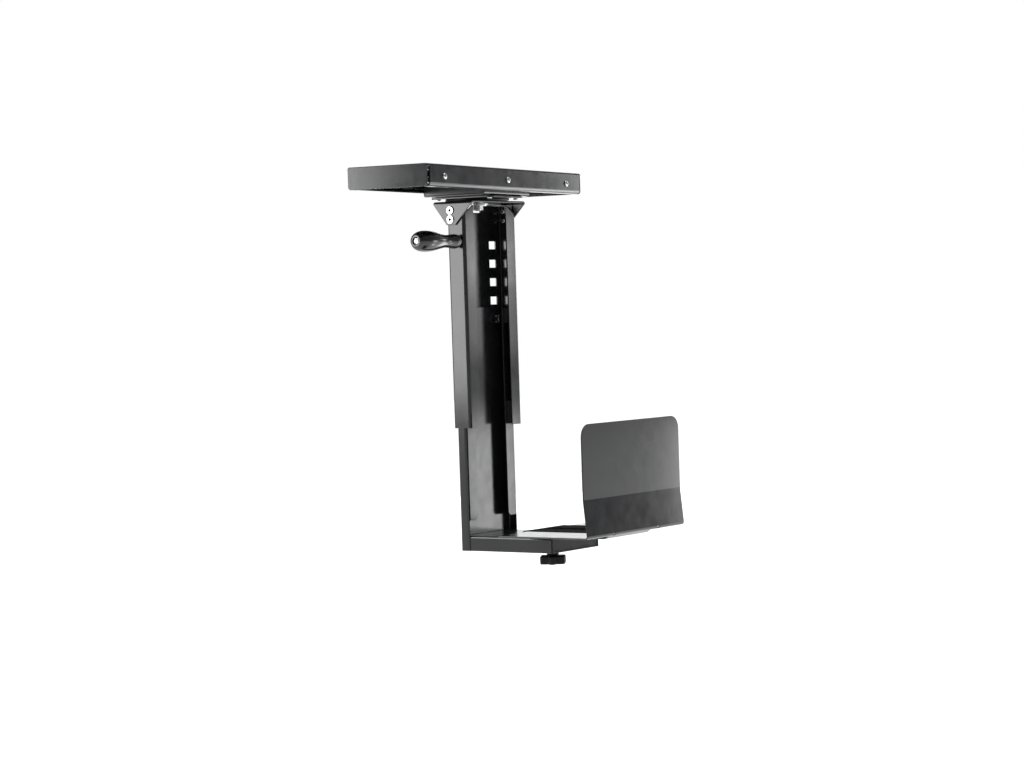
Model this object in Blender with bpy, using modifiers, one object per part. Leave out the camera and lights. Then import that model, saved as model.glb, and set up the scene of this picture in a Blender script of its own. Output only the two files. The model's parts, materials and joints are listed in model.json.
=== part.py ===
"""Under-desk computer holder: a sliding and turning column that carries a computer.

Metres, +Z up. The origin is where the swivel axis meets the underside of the desk.
+X points from the column towards the side panel, and +Y runs along the panel's width.
"""
import math

import bmesh
import bpy
from mathutils import Matrix, Vector

# ---- general -------------------------------------------------------------------------
SHEET = 0.0020            # wall of the folded steel pieces
GAP = 0.0003              # between pieces that touch
SLIDE_GAP = 0.0010        # each side of a sliding fit
BEND_RADIUS = 0.0040      # outside radius of a fold
ROUND_STEPS = 5           # straight pieces in a quarter circle
SMALL_SIDES = 20          # sides of a small round piece
LARGE_SIDES = 40          # sides of a large round piece
CORNER_STEPS = 8          # straight pieces in a large quarter circle or a slot's end

# ---- track under the desk ------------------------------------------------------------
TRACK_TURN = math.radians(8.0)    # the track's heading against the holder's
TRACK_LENGTH = 0.440
TRACK_WIDTH = 0.116
TRACK_HEIGHT = 0.0292
TRACK_AHEAD = 0.200               # swivel axis to the track's far end
TRACK_BEND = 0.0030               # outside radius of its upper edges
TRACK_ROLL = 0.0055               # radius of the rolled lower edge
TRACK_LIP = 0.0095                # width of the lip under the track
NEAR_RELIEF = 0.0085              # side flanges stop short of the ends
FAR_RELIEF = 0.0030
RAIL_DEPTH = 0.0080
RAIL_HEIGHT = 0.0180
RAIL_SHEET = 0.0015
RAIL_BEND = 0.0020
RAIL_TOP = 0.0065                 # desk face to the rail's top
RAIL_END_GAP = 0.0120             # rail to the track's end
SIDE_SCREW_REACH = 0.174          # middle screw to the outer ones
SIDE_SCREW_RADIUS = 0.0020
SIDE_SCREW_HEAD = 0.0042
SIDE_SCREW_DOME = 0.0019
DESK_HOLE_REACH = 0.183           # middle desk hole to the outer ones
DESK_HOLE_RADIUS = 0.0028
BUMPER_RADIUS = 0.0070
BUMPER_LENGTH = 0.0080

# ---- carriage and swivel -------------------------------------------------------------
CARRIAGE_LENGTH = 0.130
CARRIAGE_WIDTH = 0.092
CARRIAGE_TOP = 0.0080             # desk face to the carriage's top edge
CARRIAGE_BOTTOM = 0.0350          # desk face to its underside
GLIDE_LENGTH = 0.0240
GLIDE_INSET = 0.0060              # glide to the carriage's end
SWIVEL_PLATE = 0.094              # side of the square plate
SWIVEL_SHEET = 0.0025
SWIVEL_SCREW_INSET = 0.0085
SWIVEL_SCREW_HEAD = 0.0036
SWIVEL_SCREW_RADIUS = 0.0018
SWIVEL_SCREW_DOME = 0.0016
HUB_RADIUS = 0.0430
HUB_HEIGHT = 0.0031
PIVOT_RADIUS = 0.0050
PIVOT_HEAD_RADIUS = 0.0090
PIVOT_HEAD_HEIGHT = 0.0060
PIVOT_NUT_RADIUS = 0.0078
PIVOT_NUT_HEIGHT = 0.0068
PIVOT_OVER = 0.0010               # bolt's end below the nut
PIVOT_WASHER_RADIUS = 0.0100
PIVOT_WASHER_SHEET = 0.0014

# ---- yoke ----------------------------------------------------------------------------
YOKE_SHEET = 0.0025
YOKE_BACK = -0.0280
YOKE_FRONT = 0.0350
YOKE_EAR_BACK = -0.0065           # ear's width at its lower end
YOKE_EAR_FRONT = 0.0075
YOKE_EAR_DROP = 0.0315            # yoke's top to the ear's lower end
RIVET_X = 0.0000
RIVET_FIRST = 0.0120              # yoke's top to the upper rivet
RIVET_PITCH = 0.0122
RIVET_HEAD_RADIUS = 0.0058
RIVET_SHANK_RADIUS = 0.0030
RIVET_BORE_RADIUS = 0.0019
RIVET_RIM = 0.0012                # height of the rolled head
RIVET_TAIL = 0.0008               # height of the spread tail

# ---- columns -------------------------------------------------------------------------
COLUMN_WIDTH = 0.118
COLUMN_BACK = -0.0080
COLUMN_FRONT = 0.0200
COLUMN_LIP = 0.0220
COLUMN_TOP = -0.0462
COLUMN_LENGTH = 0.297
COLUMN_CORNER_CUT = 0.0140        # sloped cut at the top of the lips
NOTCH_HALF = 0.0140               # notch in the web for the pivot's nut
NOTCH_DEPTH = 0.0095
HOLE_PITCH = 0.0250
HOLE_COUNT = 9
HOLE_FIRST = -0.0995
HOLE_WIDTH = 0.0150
HOLE_HEIGHT = 0.0105
HOLE_INSET = 0.0195               # column's side to the middle of its row of holes
INNER_DEPTH = 0.0150              # lower column, back to front
INNER_LIP = 0.0210
INNER_TOP = -0.1830
INNER_LENGTH = 0.324
LIP_STOP = 0.0405                 # lips end this far above the lower column's foot
GUIDE_WIDTH = 0.0170
GUIDE_LENGTH = 0.0320
SHOE_LENGTH = 0.0200
LOCK_RADIUS = 0.0040
LOCK_HEAD_RADIUS = 0.0065
LOCK_TRAVEL = 0.0040
LOCK_HEAD_LENGTH = 0.0037
LOCK_ROW = 4                      # hole that the lock pins stand at

# ---- handle --------------------------------------------------------------------------
HANDLE_X = 0.0100
HANDLE_Z = -0.0950
GRIP_LENGTH = 0.0885
GRIP_RADIUS = 0.0144
GRIP_BORE = 0.0034
HANDLE_PIN = 0.0030
PIN_HEAD_HEIGHT = 0.0026
PIN_SLOT_DEPTH = 0.0012
PIN_SLOT_HALF = 0.0006
HANDLE_BOSS_RADIUS = 0.0072
HANDLE_BOSS_LENGTH = 0.0040
RECESS_RADIUS = 0.0050
RECESS_DEPTH = 0.0040

# ---- shelf arm -----------------------------------------------------------------------
ARM_HEIGHT = 0.0200
ARM_END = 0.1400
CAP_FACE = 0.0022
CAP_PLUG = 0.0080

# ---- side panel ----------------------------------------------------------------------
PANEL_WIDTH = 0.231
PANEL_X = 0.2355                  # outer face of the panel's flat part
PANEL_HEIGHT = 0.146
PANEL_FLARE = 0.0050              # lower part leans outwards by this
FOLD_RISE = 0.0500                # foot's underside to the fold
PANEL_CORNER = 0.0170
FOOT_RISE = 0.0057                # foot's wings above the arm
FOOT_BACK = 0.1000
TONGUE_WIDTH = 0.100
TONGUE_BACK = 0.0880
TONGUE_SHEET = 0.0018
TONGUE_RAMP = 0.0080
RELIEF_RADIUS = 0.0024
PANEL_TRAVEL = 0.0850
MAT_SHEET = 0.0055
MAT_MARGIN = 0.0022

# ---- clamp under the arm -------------------------------------------------------------
CLAMP_X = 0.1050
CLAMP_RADIUS = 0.0040
CLAMP_HOLE = 0.0043
CLAMP_HEAD_RADIUS = 0.0080
CLAMP_HEAD_HEIGHT = 0.0035
CLAMP_WASHER_RADIUS = 0.0095
CLAMP_WASHER_SHEET = 0.0015
CLAMP_BOLT_INSET = 0.0025         # bolt's end inside the knob
KNOB_NECK_RADIUS = 0.0080
KNOB_CLEAR = 0.0080               # arm's lower edge to the knob's head
KNOB_RADIUS = 0.0162
KNOB_LOBE = 0.0025
KNOB_LOBES = 6
KNOB_HEIGHT = 0.0115
INSERT_RADIUS = 0.0060
INSERT_LENGTH = 0.0095

# ---- worked out from the values above ------------------------------------------------
TRACK_NEAR = TRACK_AHEAD - TRACK_LENGTH
TRACK_MIDDLE = TRACK_AHEAD - TRACK_LENGTH / 2
SWIVEL_TOP = -CARRIAGE_BOTTOM - GAP
HUB_TOP = SWIVEL_TOP - SWIVEL_SHEET - GAP
YOKE_TOP = HUB_TOP - HUB_HEIGHT - GAP
YOKE_UNDER = YOKE_TOP - YOKE_SHEET
COLUMN_HALF = COLUMN_WIDTH / 2
HOLE_OFFSET = COLUMN_HALF - HOLE_INSET
COLUMN_END = COLUMN_TOP - COLUMN_LENGTH
INNER_HALF = COLUMN_HALF - SHEET - SLIDE_GAP
INNER_BACK = COLUMN_BACK + SHEET + SLIDE_GAP
INNER_FRONT = INNER_BACK + INNER_DEPTH
INNER_END = INNER_TOP - INNER_LENGTH
ARM_HALF = INNER_HALF - SHEET - GAP
ARM_TOP = INNER_END + ARM_HEIGHT
ARM_BACK = INNER_BACK + BEND_RADIUS + GAP
FOOT_TOP = ARM_TOP + FOOT_RISE + SHEET
FOOT_UNDER = ARM_TOP + FOOT_RISE
PANEL_HALF = PANEL_WIDTH / 2
TONGUE_UNDER = ARM_TOP + GAP
TONGUE_TOP = TONGUE_UNDER + TONGUE_SHEET
TONGUE_HALF = TONGUE_WIDTH / 2
RAMP_END = PANEL_X - PANEL_FLARE
RAMP_START = RAMP_END - TONGUE_RAMP
EAR_IN = COLUMN_HALF + GAP
EAR_OUT = EAR_IN + YOKE_SHEET

OBJECT_NAME = "computer_holder"


# ---- scene and materials -------------------------------------------------------------
def clear_scene():
    for item in list(bpy.data.objects):
        bpy.data.objects.remove(item, do_unlink=True)


def collection(name):
    group = bpy.data.collections.new(name)
    bpy.context.scene.collection.children.link(group)
    return group


def material(name, colour, roughness, metallic):
    made = bpy.data.materials.new(name)
    made.use_nodes = True
    shader = made.node_tree.nodes["Principled BSDF"]
    shader.inputs["Base Color"].default_value = (*colour, 1.0)
    shader.inputs["Roughness"].default_value = roughness
    shader.inputs["Metallic"].default_value = metallic
    return made


clear_scene()
PARTS = collection(OBJECT_NAME)
CUTTERS = collection("cutters")
BLACK_STEEL = material("black_steel", (0.030, 0.031, 0.033), 0.30, 0.0)
BARE_STEEL = material("bare_steel", (0.62, 0.62, 0.61), 0.28, 1.0)
BLACK_PLASTIC = material("black_plastic", (0.018, 0.018, 0.019), 0.42, 0.0)
NYLON = material("nylon", (0.012, 0.012, 0.012), 0.50, 0.0)
RUBBER = material("rubber", (0.012, 0.012, 0.012), 0.80, 0.0)


def holder(name, turn=0.0, place=(0.0, 0.0, 0.0)):
    empty = bpy.data.objects.new(name, None)
    empty.location = place
    empty.rotation_euler = (0.0, 0.0, turn)
    PARTS.objects.link(empty)
    return empty


TRACK_FRAME = holder("track_frame", TRACK_TURN)
HEAD_FRAME = holder("head_frame")
KNOB_FRAME = holder("knob_frame", place=(CLAMP_X, 0.0, 0.0))


# ---- building blocks -----------------------------------------------------------------
def add_mesh(name, mesh, finish=None, parent=None):
    made = bpy.data.objects.new(name, mesh)
    if finish is None:
        CUTTERS.objects.link(made)
        made.hide_render = True
        made.display_type = "WIRE"
    else:
        PARTS.objects.link(made)
        mesh.materials.append(finish)
    made.parent = parent
    return made


def mesh_from(name, shape):
    mesh = bpy.data.meshes.new(name)
    shape.to_mesh(mesh)
    shape.free()
    return mesh


def box(name, low, high, finish=None, parent=None):
    shape = bmesh.new()
    bmesh.ops.create_cube(shape, size=1.0)
    size = [b - a for a, b in zip(low, high)]
    centre = [(a + b) / 2 for a, b in zip(low, high)]
    move = Matrix.Translation(centre) @ Matrix.Diagonal((*size, 1.0))
    bmesh.ops.transform(shape, matrix=move, verts=shape.verts)
    return add_mesh(name, mesh_from(name, shape), finish, parent)


def along(axis):
    """Turns a shape made along +Z to point along an axis."""
    return Vector((0, 0, 1)).rotation_difference(Vector(axis)).to_matrix().to_4x4()


def rod(name, base, axis, length, radius, finish=None, parent=None, sides=SMALL_SIDES):
    shape = bmesh.new()
    bmesh.ops.create_cone(shape, cap_ends=True, segments=sides, radius1=radius,
                          radius2=radius, depth=length)
    move = Matrix.Translation(base) @ along(axis) @ Matrix.Translation((0, 0, length / 2))
    bmesh.ops.transform(shape, matrix=move, verts=shape.verts)
    return add_mesh(name, mesh_from(name, shape), finish, parent)


def turned(name, profile, base, axis, finish=None, parent=None, sides=SMALL_SIDES):
    """A turned piece: (radius, height) points down its outer side, top to bottom."""
    shape = bmesh.new()
    points = [shape.verts.new((radius, 0.0, height)) for radius, height in profile]
    for first, second in zip(points, points[1:]):
        shape.edges.new((first, second))
    made = add_mesh(name, mesh_from(name, shape), finish, parent)
    made.matrix_local = Matrix.Translation(base) @ along(axis)
    spin = made.modifiers.new("spin", "SCREW")
    spin.steps = sides
    spin.render_steps = sides
    spin.use_merge_vertices = True
    spin.merge_threshold = 0.00005
    return made


def closed_ring(profile):
    return profile + [profile[0]]


def arc(centre, radius, start, end, steps=ROUND_STEPS):
    """Points on an arc, with angles in degrees."""
    points = []
    for step in range(steps + 1):
        angle = math.radians(start + (end - start) * step / steps)
        points.append((centre[0] + radius * math.cos(angle),
                       centre[1] + radius * math.sin(angle)))
    return points


def rounded(corners, radii):
    """A path through corner points, each inner corner rounded by its radius."""
    path = [Vector(corners[0])]
    for before, here, after, radius in zip(corners, corners[1:], corners[2:], radii):
        here = Vector(here)
        back = (Vector(before) - here).normalized()
        ahead = (Vector(after) - here).normalized()
        half = back.angle(ahead) / 2
        reach = radius / math.tan(half)
        centre = here + (back + ahead).normalized() * (radius / math.sin(half))
        start = here + back * reach - centre
        sweep = start.angle_signed(here + ahead * reach - centre)
        for step in range(ROUND_STEPS + 1):
            turn = Matrix.Rotation(-sweep * step / ROUND_STEPS, 2)
            path.append(centre + turn @ start)
    path.append(Vector(corners[-1]))
    return path


PLANES = {
    "xy": lambda u, v, w: (u, v, w),
    "xz": lambda u, v, w: (u, w, v),
    "yz": lambda u, v, w: (w, u, v),
}


def folded(name, path, plane, low, high, finish, parent=None, wall=SHEET, side=1.0):
    """A strip that follows a path, drawn out from low to high and given a wall."""
    place = PLANES[plane]
    shape = bmesh.new()
    first = [shape.verts.new(place(u, v, low)) for u, v in path]
    last = [shape.verts.new(place(u, v, high)) for u, v in path]
    for index in range(len(path) - 1):
        shape.faces.new((first[index], first[index + 1], last[index + 1], last[index]))
    made = add_mesh(name, mesh_from(name, shape), finish, parent)
    shell = made.modifiers.new("wall", "SOLIDIFY")
    shell.thickness = wall
    shell.offset = side
    shell.use_even_offset = True
    return made


def slab(name, outline, plane, low, high, finish=None, parent=None):
    """A flat outline drawn out from low to high."""
    place = PLANES[plane]
    shape = bmesh.new()
    face = shape.faces.new([shape.verts.new(place(u, v, low)) for u, v in outline])
    grown = bmesh.ops.extrude_face_region(shape, geom=[face])
    shift = Vector(place(0, 0, high)) - Vector(place(0, 0, low))
    moved = [item for item in grown["geom"] if isinstance(item, bmesh.types.BMVert)]
    bmesh.ops.translate(shape, vec=shift, verts=moved)
    bmesh.ops.recalc_face_normals(shape, faces=shape.faces)
    return add_mesh(name, mesh_from(name, shape), finish, parent)


def join(target, other, operation="DIFFERENCE"):
    step = target.modifiers.new(other.name, "BOOLEAN")
    step.operation = operation
    step.solver = "EXACT"
    step.object = other
    return target


def smooth(made):
    made.data.shade_smooth()
    return made


# ---- track ---------------------------------------------------------------------------
def make_track():
    half = TRACK_WIDTH / 2
    lip = half - TRACK_LIP
    corners = [(-lip, -TRACK_HEIGHT), (-half, -TRACK_HEIGHT), (-half, 0.0),
               (half, 0.0), (half, -TRACK_HEIGHT), (lip, -TRACK_HEIGHT)]
    radii = [TRACK_ROLL, TRACK_BEND, TRACK_BEND, TRACK_ROLL]
    housing = folded("track_housing", rounded(corners, radii), "xz", TRACK_NEAR,
                     TRACK_AHEAD, BLACK_STEEL, TRACK_FRAME, side=-1.0)
    for end, inward, relief, name in ((TRACK_NEAR, 1.0, NEAR_RELIEF, "near"),
                                      (TRACK_AHEAD, -1.0, FAR_RELIEF, "far")):
        reach = end + inward * relief
        outside = end - inward * SHEET
        for side, hand in ((-1.0, "left"), (1.0, "right")):
            across = sorted((side * (lip - SHEET), side * (half + SHEET)))
            run = sorted((outside, reach))
            cutter = box(f"relief_{name}_{hand}", (across[0], run[0], -TRACK_HEIGHT - SHEET),
                         (across[1], run[1], -2 * SHEET), None, TRACK_FRAME)
            join(housing, cutter)
    flange = half - GAP
    corner = 2 * SHEET
    outline = [(-flange, -SHEET / 2),
               *arc((-flange + corner, -TRACK_HEIGHT + corner), corner, 180, 270),
               *arc((flange - corner, -TRACK_HEIGHT + corner), corner, 270, 360),
               (flange, -SHEET / 2)]
    for end, inward, name in ((TRACK_NEAR, 1.0, "near"), (TRACK_AHEAD, -1.0, "far")):
        run = sorted((end + inward * GAP / 2, end + inward * SHEET))
        join(housing, slab(f"end_flange_{name}", outline, "xz", run[0], run[1], None,
                           TRACK_FRAME), "UNION")
    for step in (-1, 0, 1):
        for side in (-1.0, 1.0):
            hole = rod("side_hole", (side * (half - 4 * SHEET),
                                     TRACK_MIDDLE + step * SIDE_SCREW_REACH,
                                     -RAIL_TOP - RAIL_HEIGHT / 2),
                       (side, 0, 0), 8 * SHEET, SIDE_SCREW_RADIUS + GAP, None, TRACK_FRAME)
            join(housing, hole)
            hole = rod("desk_hole", (side * half / 2, TRACK_MIDDLE + step * DESK_HOLE_REACH,
                                     -2 * SHEET),
                       (0, 0, 1), 4 * SHEET, DESK_HOLE_RADIUS, None, TRACK_FRAME)
            join(housing, hole)
    return housing


def make_rails():
    outer = TRACK_WIDTH / 2 - SHEET - GAP
    inner = outer - RAIL_DEPTH
    top = -RAIL_TOP
    low = top - RAIL_HEIGHT
    middle = (top + low) / 2
    ends = (TRACK_NEAR + RAIL_END_GAP, TRACK_AHEAD - RAIL_END_GAP)
    for side, hand in ((-1.0, "left"), (1.0, "right")):
        corners = [(side * inner, top), (side * outer, top), (side * outer, low),
                   (side * inner, low)]
        rail = folded(f"rail_{hand}", rounded(corners, [RAIL_BEND] * 2), "xz",
                      *ends, BARE_STEEL, TRACK_FRAME, RAIL_SHEET, -side)
        for index, offset in enumerate((-SIDE_SCREW_REACH, 0.0, SIDE_SCREW_REACH)):
            place = TRACK_MIDDLE + offset
            hole = rod("rail_hole", (side * inner, place, middle), (side, 0, 0),
                       2 * RAIL_DEPTH, SIDE_SCREW_RADIUS + GAP, None, TRACK_FRAME)
            join(rail, hole)
            head = TRACK_WIDTH / 2 + GAP
            reach = outer - RAIL_SHEET
            profile = [(0.0, SIDE_SCREW_DOME), (SIDE_SCREW_HEAD * 0.55, SIDE_SCREW_DOME * 0.9),
                       (SIDE_SCREW_HEAD * 0.9, SIDE_SCREW_DOME * 0.5), (SIDE_SCREW_HEAD, 0.0),
                       (SIDE_SCREW_RADIUS, 0.0), (SIDE_SCREW_RADIUS, reach - head),
                       (0.0, reach - head)]
            smooth(turned(f"side_screw_{hand}_{index + 1}", profile,
                          (side * head, place, middle), (side, 0, 0), BARE_STEEL,
                          TRACK_FRAME))


def make_bumpers():
    middle = -(CARRIAGE_TOP + TRACK_HEIGHT) / 2
    for end, inward, name in ((TRACK_NEAR, 1.0, "near"), (TRACK_AHEAD, -1.0, "far")):
        base = end + inward * (SHEET + GAP)
        profile = [(0.0, BUMPER_LENGTH), (BUMPER_RADIUS * 0.8, BUMPER_LENGTH),
                   (BUMPER_RADIUS, BUMPER_LENGTH * 0.8), (BUMPER_RADIUS, 0.0), (0.0, 0.0)]
        smooth(turned(f"bumper_{name}", profile, (0, base, middle), (0, inward, 0), RUBBER,
                      TRACK_FRAME))


# ---- carriage ------------------------------------------------------------------------
def make_carriage():
    half = CARRIAGE_WIDTH / 2
    reach = CARRIAGE_LENGTH / 2
    corners = [(-half, -CARRIAGE_TOP), (-half, -CARRIAGE_BOTTOM), (half, -CARRIAGE_BOTTOM),
               (half, -CARRIAGE_TOP)]
    body = folded("carriage", rounded(corners, [BEND_RADIUS] * 2), "xz", -reach, reach,
                  BLACK_STEEL, TRACK_FRAME)
    inside = half - SHEET / 2
    for end in (-1.0, 1.0):
        run = sorted((end * (reach - GAP / 2), end * (reach - SHEET)))
        wall = box("carriage_end", (-inside, run[0], -CARRIAGE_BOTTOM + SHEET / 2),
                   (inside, run[1], -CARRIAGE_TOP - SHEET), None, TRACK_FRAME)
        join(body, wall, "UNION")
    join(body, rod("pivot_hole", (0, 0, -CARRIAGE_BOTTOM - SHEET), (0, 0, 1), 4 * SHEET,
                   PIVOT_RADIUS + GAP, None, TRACK_FRAME))
    make_glides(half, reach)
    make_swivel_plate()


def make_glides(half, reach):
    inner = half + GAP
    outer = TRACK_WIDTH / 2 - SHEET - GAP - RAIL_SHEET - GAP
    top = -RAIL_TOP - RAIL_SHEET - GAP
    low = -RAIL_TOP - RAIL_HEIGHT + RAIL_SHEET + GAP
    number = 0
    for side in (-1.0, 1.0):
        for end in (-1.0, 1.0):
            number += 1
            across = sorted((side * inner, side * outer))
            run = sorted((end * (reach - GLIDE_INSET), end * (reach - GLIDE_INSET - GLIDE_LENGTH)))
            box(f"glide_{number}", (across[0], run[0], low), (across[1], run[1], top), NYLON,
                TRACK_FRAME)


def make_swivel_plate():
    half = SWIVEL_PLATE / 2
    low = SWIVEL_TOP - SWIVEL_SHEET
    corner = 3 * SWIVEL_SHEET
    inner = half - corner
    outline = [*arc((-inner, -inner), corner, 180, 270), *arc((inner, -inner), corner, 270, 360),
               *arc((inner, inner), corner, 0, 90), *arc((-inner, inner), corner, 90, 180)]
    plate = slab("swivel_plate", outline, "xy", low, SWIVEL_TOP, BLACK_STEEL, TRACK_FRAME)
    join(plate, rod("plate_hole", (0, 0, low - SHEET), (0, 0, 1), 3 * SHEET,
                    PIVOT_RADIUS + GAP, None, TRACK_FRAME))
    place = half - SWIVEL_SCREW_INSET
    head = SWIVEL_SCREW_HEAD
    shank = SWIVEL_SCREW_RADIUS
    number = 0
    carriage = bpy.data.objects["carriage"]
    for across in (-place, place):
        for run in (-place, place):
            number += 1
            for target in (plate, carriage):
                join(target, rod("swivel_screw_hole", (across, run, low - SHEET), (0, 0, 1),
                                 5 * SHEET, shank + GAP, None, TRACK_FRAME))
            length = SWIVEL_SHEET + SHEET + 2 * GAP
            profile = [(0.0, SWIVEL_SCREW_DOME), (head * 0.7, SWIVEL_SCREW_DOME * 0.8),
                       (head, 0.0), (shank, 0.0), (shank, -length), (0.0, -length)]
            smooth(turned(f"swivel_screw_{number}", profile, (across, run, low - GAP),
                          (0, 0, -1), BARE_STEEL, TRACK_FRAME))


def make_pivot():
    head_low = -CARRIAGE_BOTTOM + SHEET + GAP
    nut_top = YOKE_UNDER - GAP - PIVOT_WASHER_SHEET - GAP
    end = nut_top - PIVOT_NUT_HEIGHT - PIVOT_OVER
    bolt = rod("pivot_bolt", (0, 0, head_low), (0, 0, 1), PIVOT_HEAD_HEIGHT,
               PIVOT_HEAD_RADIUS, BARE_STEEL, TRACK_FRAME, 6)
    join(bolt, rod("pivot_shank", (0, 0, end), (0, 0, 1), head_low - end + SHEET / 2,
                   PIVOT_RADIUS, None, TRACK_FRAME, LARGE_SIDES // 2), "UNION")
    for name, top, height, radius, sides in (
            ("pivot_washer", YOKE_UNDER - GAP, PIVOT_WASHER_SHEET, PIVOT_WASHER_RADIUS, 32),
            ("pivot_nut", nut_top, PIVOT_NUT_HEIGHT, PIVOT_NUT_RADIUS, 6)):
        ring = rod(name, (0, 0, top - height), (0, 0, 1), height, radius, BARE_STEEL,
                   HEAD_FRAME, sides)
        join(ring, rod(name + "_bore", (0, 0, top - height - SHEET), (0, 0, 1),
                       height + 2 * SHEET, PIVOT_RADIUS + GAP, None, HEAD_FRAME, 24))


# ---- head: hub, yoke and upper column ------------------------------------------------
def make_yoke():
    hub = rod("hub_disc", (0, 0, HUB_TOP - HUB_HEIGHT), (0, 0, 1), HUB_HEIGHT, HUB_RADIUS,
              BLACK_PLASTIC, HEAD_FRAME, LARGE_SIDES)
    bore = rod("hub_bore", (0, 0, YOKE_UNDER - SHEET), (0, 0, 1),
               HUB_TOP - YOKE_UNDER + 3 * SHEET, PIVOT_RADIUS + GAP, None, HEAD_FRAME, 24)
    join(hub, bore)
    low = YOKE_TOP - YOKE_EAR_DROP
    corners = [(-EAR_OUT, low), (-EAR_OUT, YOKE_TOP), (EAR_OUT, YOKE_TOP), (EAR_OUT, low)]
    yoke = folded("yoke", rounded(corners, [BEND_RADIUS] * 2), "yz", YOKE_BACK, YOKE_FRONT,
                  BLACK_STEEL, HEAD_FRAME, YOKE_SHEET)
    shoulder = YOKE_UNDER - SHEET / 2
    wide = EAR_OUT + SHEET
    past = low - SHEET
    back = [(YOKE_BACK - SHEET, shoulder), (YOKE_BACK, shoulder), (YOKE_EAR_BACK, low),
            (YOKE_EAR_BACK, past), (YOKE_BACK - SHEET, past)]
    front = [(YOKE_FRONT + SHEET, shoulder), (YOKE_FRONT, shoulder), (YOKE_EAR_FRONT, low),
             (YOKE_EAR_FRONT, past), (YOKE_FRONT + SHEET, past)]
    join(yoke, slab("ear_cut_back", back, "xz", -wide, wide, None, HEAD_FRAME))
    join(yoke, slab("ear_cut_front", front, "xz", -wide, wide, None, HEAD_FRAME))
    join(yoke, bore)
    return yoke


def make_upper_column():
    half = COLUMN_HALF
    lip = half - COLUMN_LIP
    corners = [(COLUMN_FRONT, -lip), (COLUMN_FRONT, -half), (COLUMN_BACK, -half),
               (COLUMN_BACK, half), (COLUMN_FRONT, half), (COLUMN_FRONT, lip)]
    column = folded("upper_column", rounded(corners, [BEND_RADIUS] * 4), "xy", COLUMN_END,
                    COLUMN_TOP, BLACK_STEEL, HEAD_FRAME)
    front = (COLUMN_FRONT - BEND_RADIUS, COLUMN_FRONT + SHEET)
    above = COLUMN_TOP + SHEET
    for side in (-1.0, 1.0):
        outline = [(side * lip, above), (side * lip, COLUMN_TOP),
                   (side * half, COLUMN_TOP - COLUMN_CORNER_CUT),
                   (side * (half + SHEET), COLUMN_TOP - COLUMN_CORNER_CUT),
                   (side * (half + SHEET), above)]
        join(column, slab("lip_cut", outline, "yz", *front, None, HEAD_FRAME))
    join(column, box("nut_notch", (COLUMN_BACK - SHEET, -NOTCH_HALF, COLUMN_TOP - NOTCH_DEPTH),
                     (COLUMN_BACK + 2 * SHEET, NOTCH_HALF, above), None, HEAD_FRAME))
    for side in (-1.0, 1.0):
        for index in range(HOLE_COUNT):
            place = HOLE_FIRST - index * HOLE_PITCH
            across = sorted((side * (HOLE_OFFSET - HOLE_WIDTH / 2),
                             side * (HOLE_OFFSET + HOLE_WIDTH / 2)))
            low = (COLUMN_BACK - SHEET, across[0], place - HOLE_HEIGHT / 2)
            high = (COLUMN_BACK + 2 * SHEET, across[1], place + HOLE_HEIGHT / 2)
            join(column, box("height_hole", low, high, None, HEAD_FRAME))
    return column


def make_rivets(yoke, column):
    """Hollow rivets hold the yoke's ears to the column."""
    number = 0
    for side in (-1.0, 1.0):
        for index in range(2):
            number += 1
            place = YOKE_TOP - RIVET_FIRST - index * RIVET_PITCH
            inside = COLUMN_HALF - 4 * SHEET
            for target in (yoke, column):
                join(target, rod("rivet_hole", (RIVET_X, side * inside, place), (0, side, 0),
                                 8 * SHEET, RIVET_SHANK_RADIUS + GAP, None, HEAD_FRAME))
            tail = -(YOKE_SHEET + SHEET + 3 * GAP)
            rim = RIVET_RIM
            end = tail - RIVET_TAIL
            profile = [(RIVET_BORE_RADIUS, rim * 0.6), (RIVET_BORE_RADIUS + RIVET_TAIL, rim),
                       (RIVET_HEAD_RADIUS * 0.8, rim), (RIVET_HEAD_RADIUS, 0.0),
                       (RIVET_SHANK_RADIUS, 0.0), (RIVET_SHANK_RADIUS, tail),
                       (RIVET_SHANK_RADIUS + rim, tail),
                       (RIVET_SHANK_RADIUS + rim * 0.8, end), (RIVET_BORE_RADIUS, end)]
            smooth(turned(f"rivet_{number}", closed_ring(profile),
                          (RIVET_X, side * (EAR_OUT + GAP), place), (0, side, 0), BARE_STEEL,
                          HEAD_FRAME))


def make_guides():
    front = COLUMN_FRONT - SHEET - GAP
    back = INNER_FRONT + GAP
    outer = COLUMN_HALF - SHEET - SLIDE_GAP - SHEET
    low = COLUMN_END + GUIDE_LENGTH
    shoe_top = INNER_TOP - SHEET
    for side, hand in ((-1.0, "left"), (1.0, "right")):
        across = sorted((side * outer, side * (outer - GUIDE_WIDTH)))
        box(f"column_guide_{hand}", (back, across[0], COLUMN_END + SHEET),
            (front, across[1], low), NYLON, HEAD_FRAME)
        box(f"column_shoe_{hand}", (back, across[0], shoe_top - SHOE_LENGTH),
            (front, across[1], shoe_top), NYLON, HEAD_FRAME)


# ---- handle --------------------------------------------------------------------------
def grip_profile():
    """Swelling turned outline, from the free end to the boss."""
    end = GRIP_LENGTH
    ring = [(RECESS_RADIUS, end - RECESS_DEPTH), (RECESS_RADIUS, end)]
    shape = [(0.50, 1.000), (0.68, 0.985), (0.84, 0.945), (0.95, 0.885), (1.00, 0.800),
             (0.985, 0.700), (0.90, 0.580), (0.76, 0.460), (0.64, 0.360), (0.595, 0.285),
             (0.61, 0.210), (0.66, 0.130), (0.695, 0.070), (0.66, 0.020)]
    ring += [(GRIP_RADIUS * radius, end * height) for radius, height in shape]
    ring += [(GRIP_RADIUS * 0.60, 0.0), (GRIP_BORE, 0.0), (GRIP_BORE, end - RECESS_DEPTH)]
    return closed_ring(ring)


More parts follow.
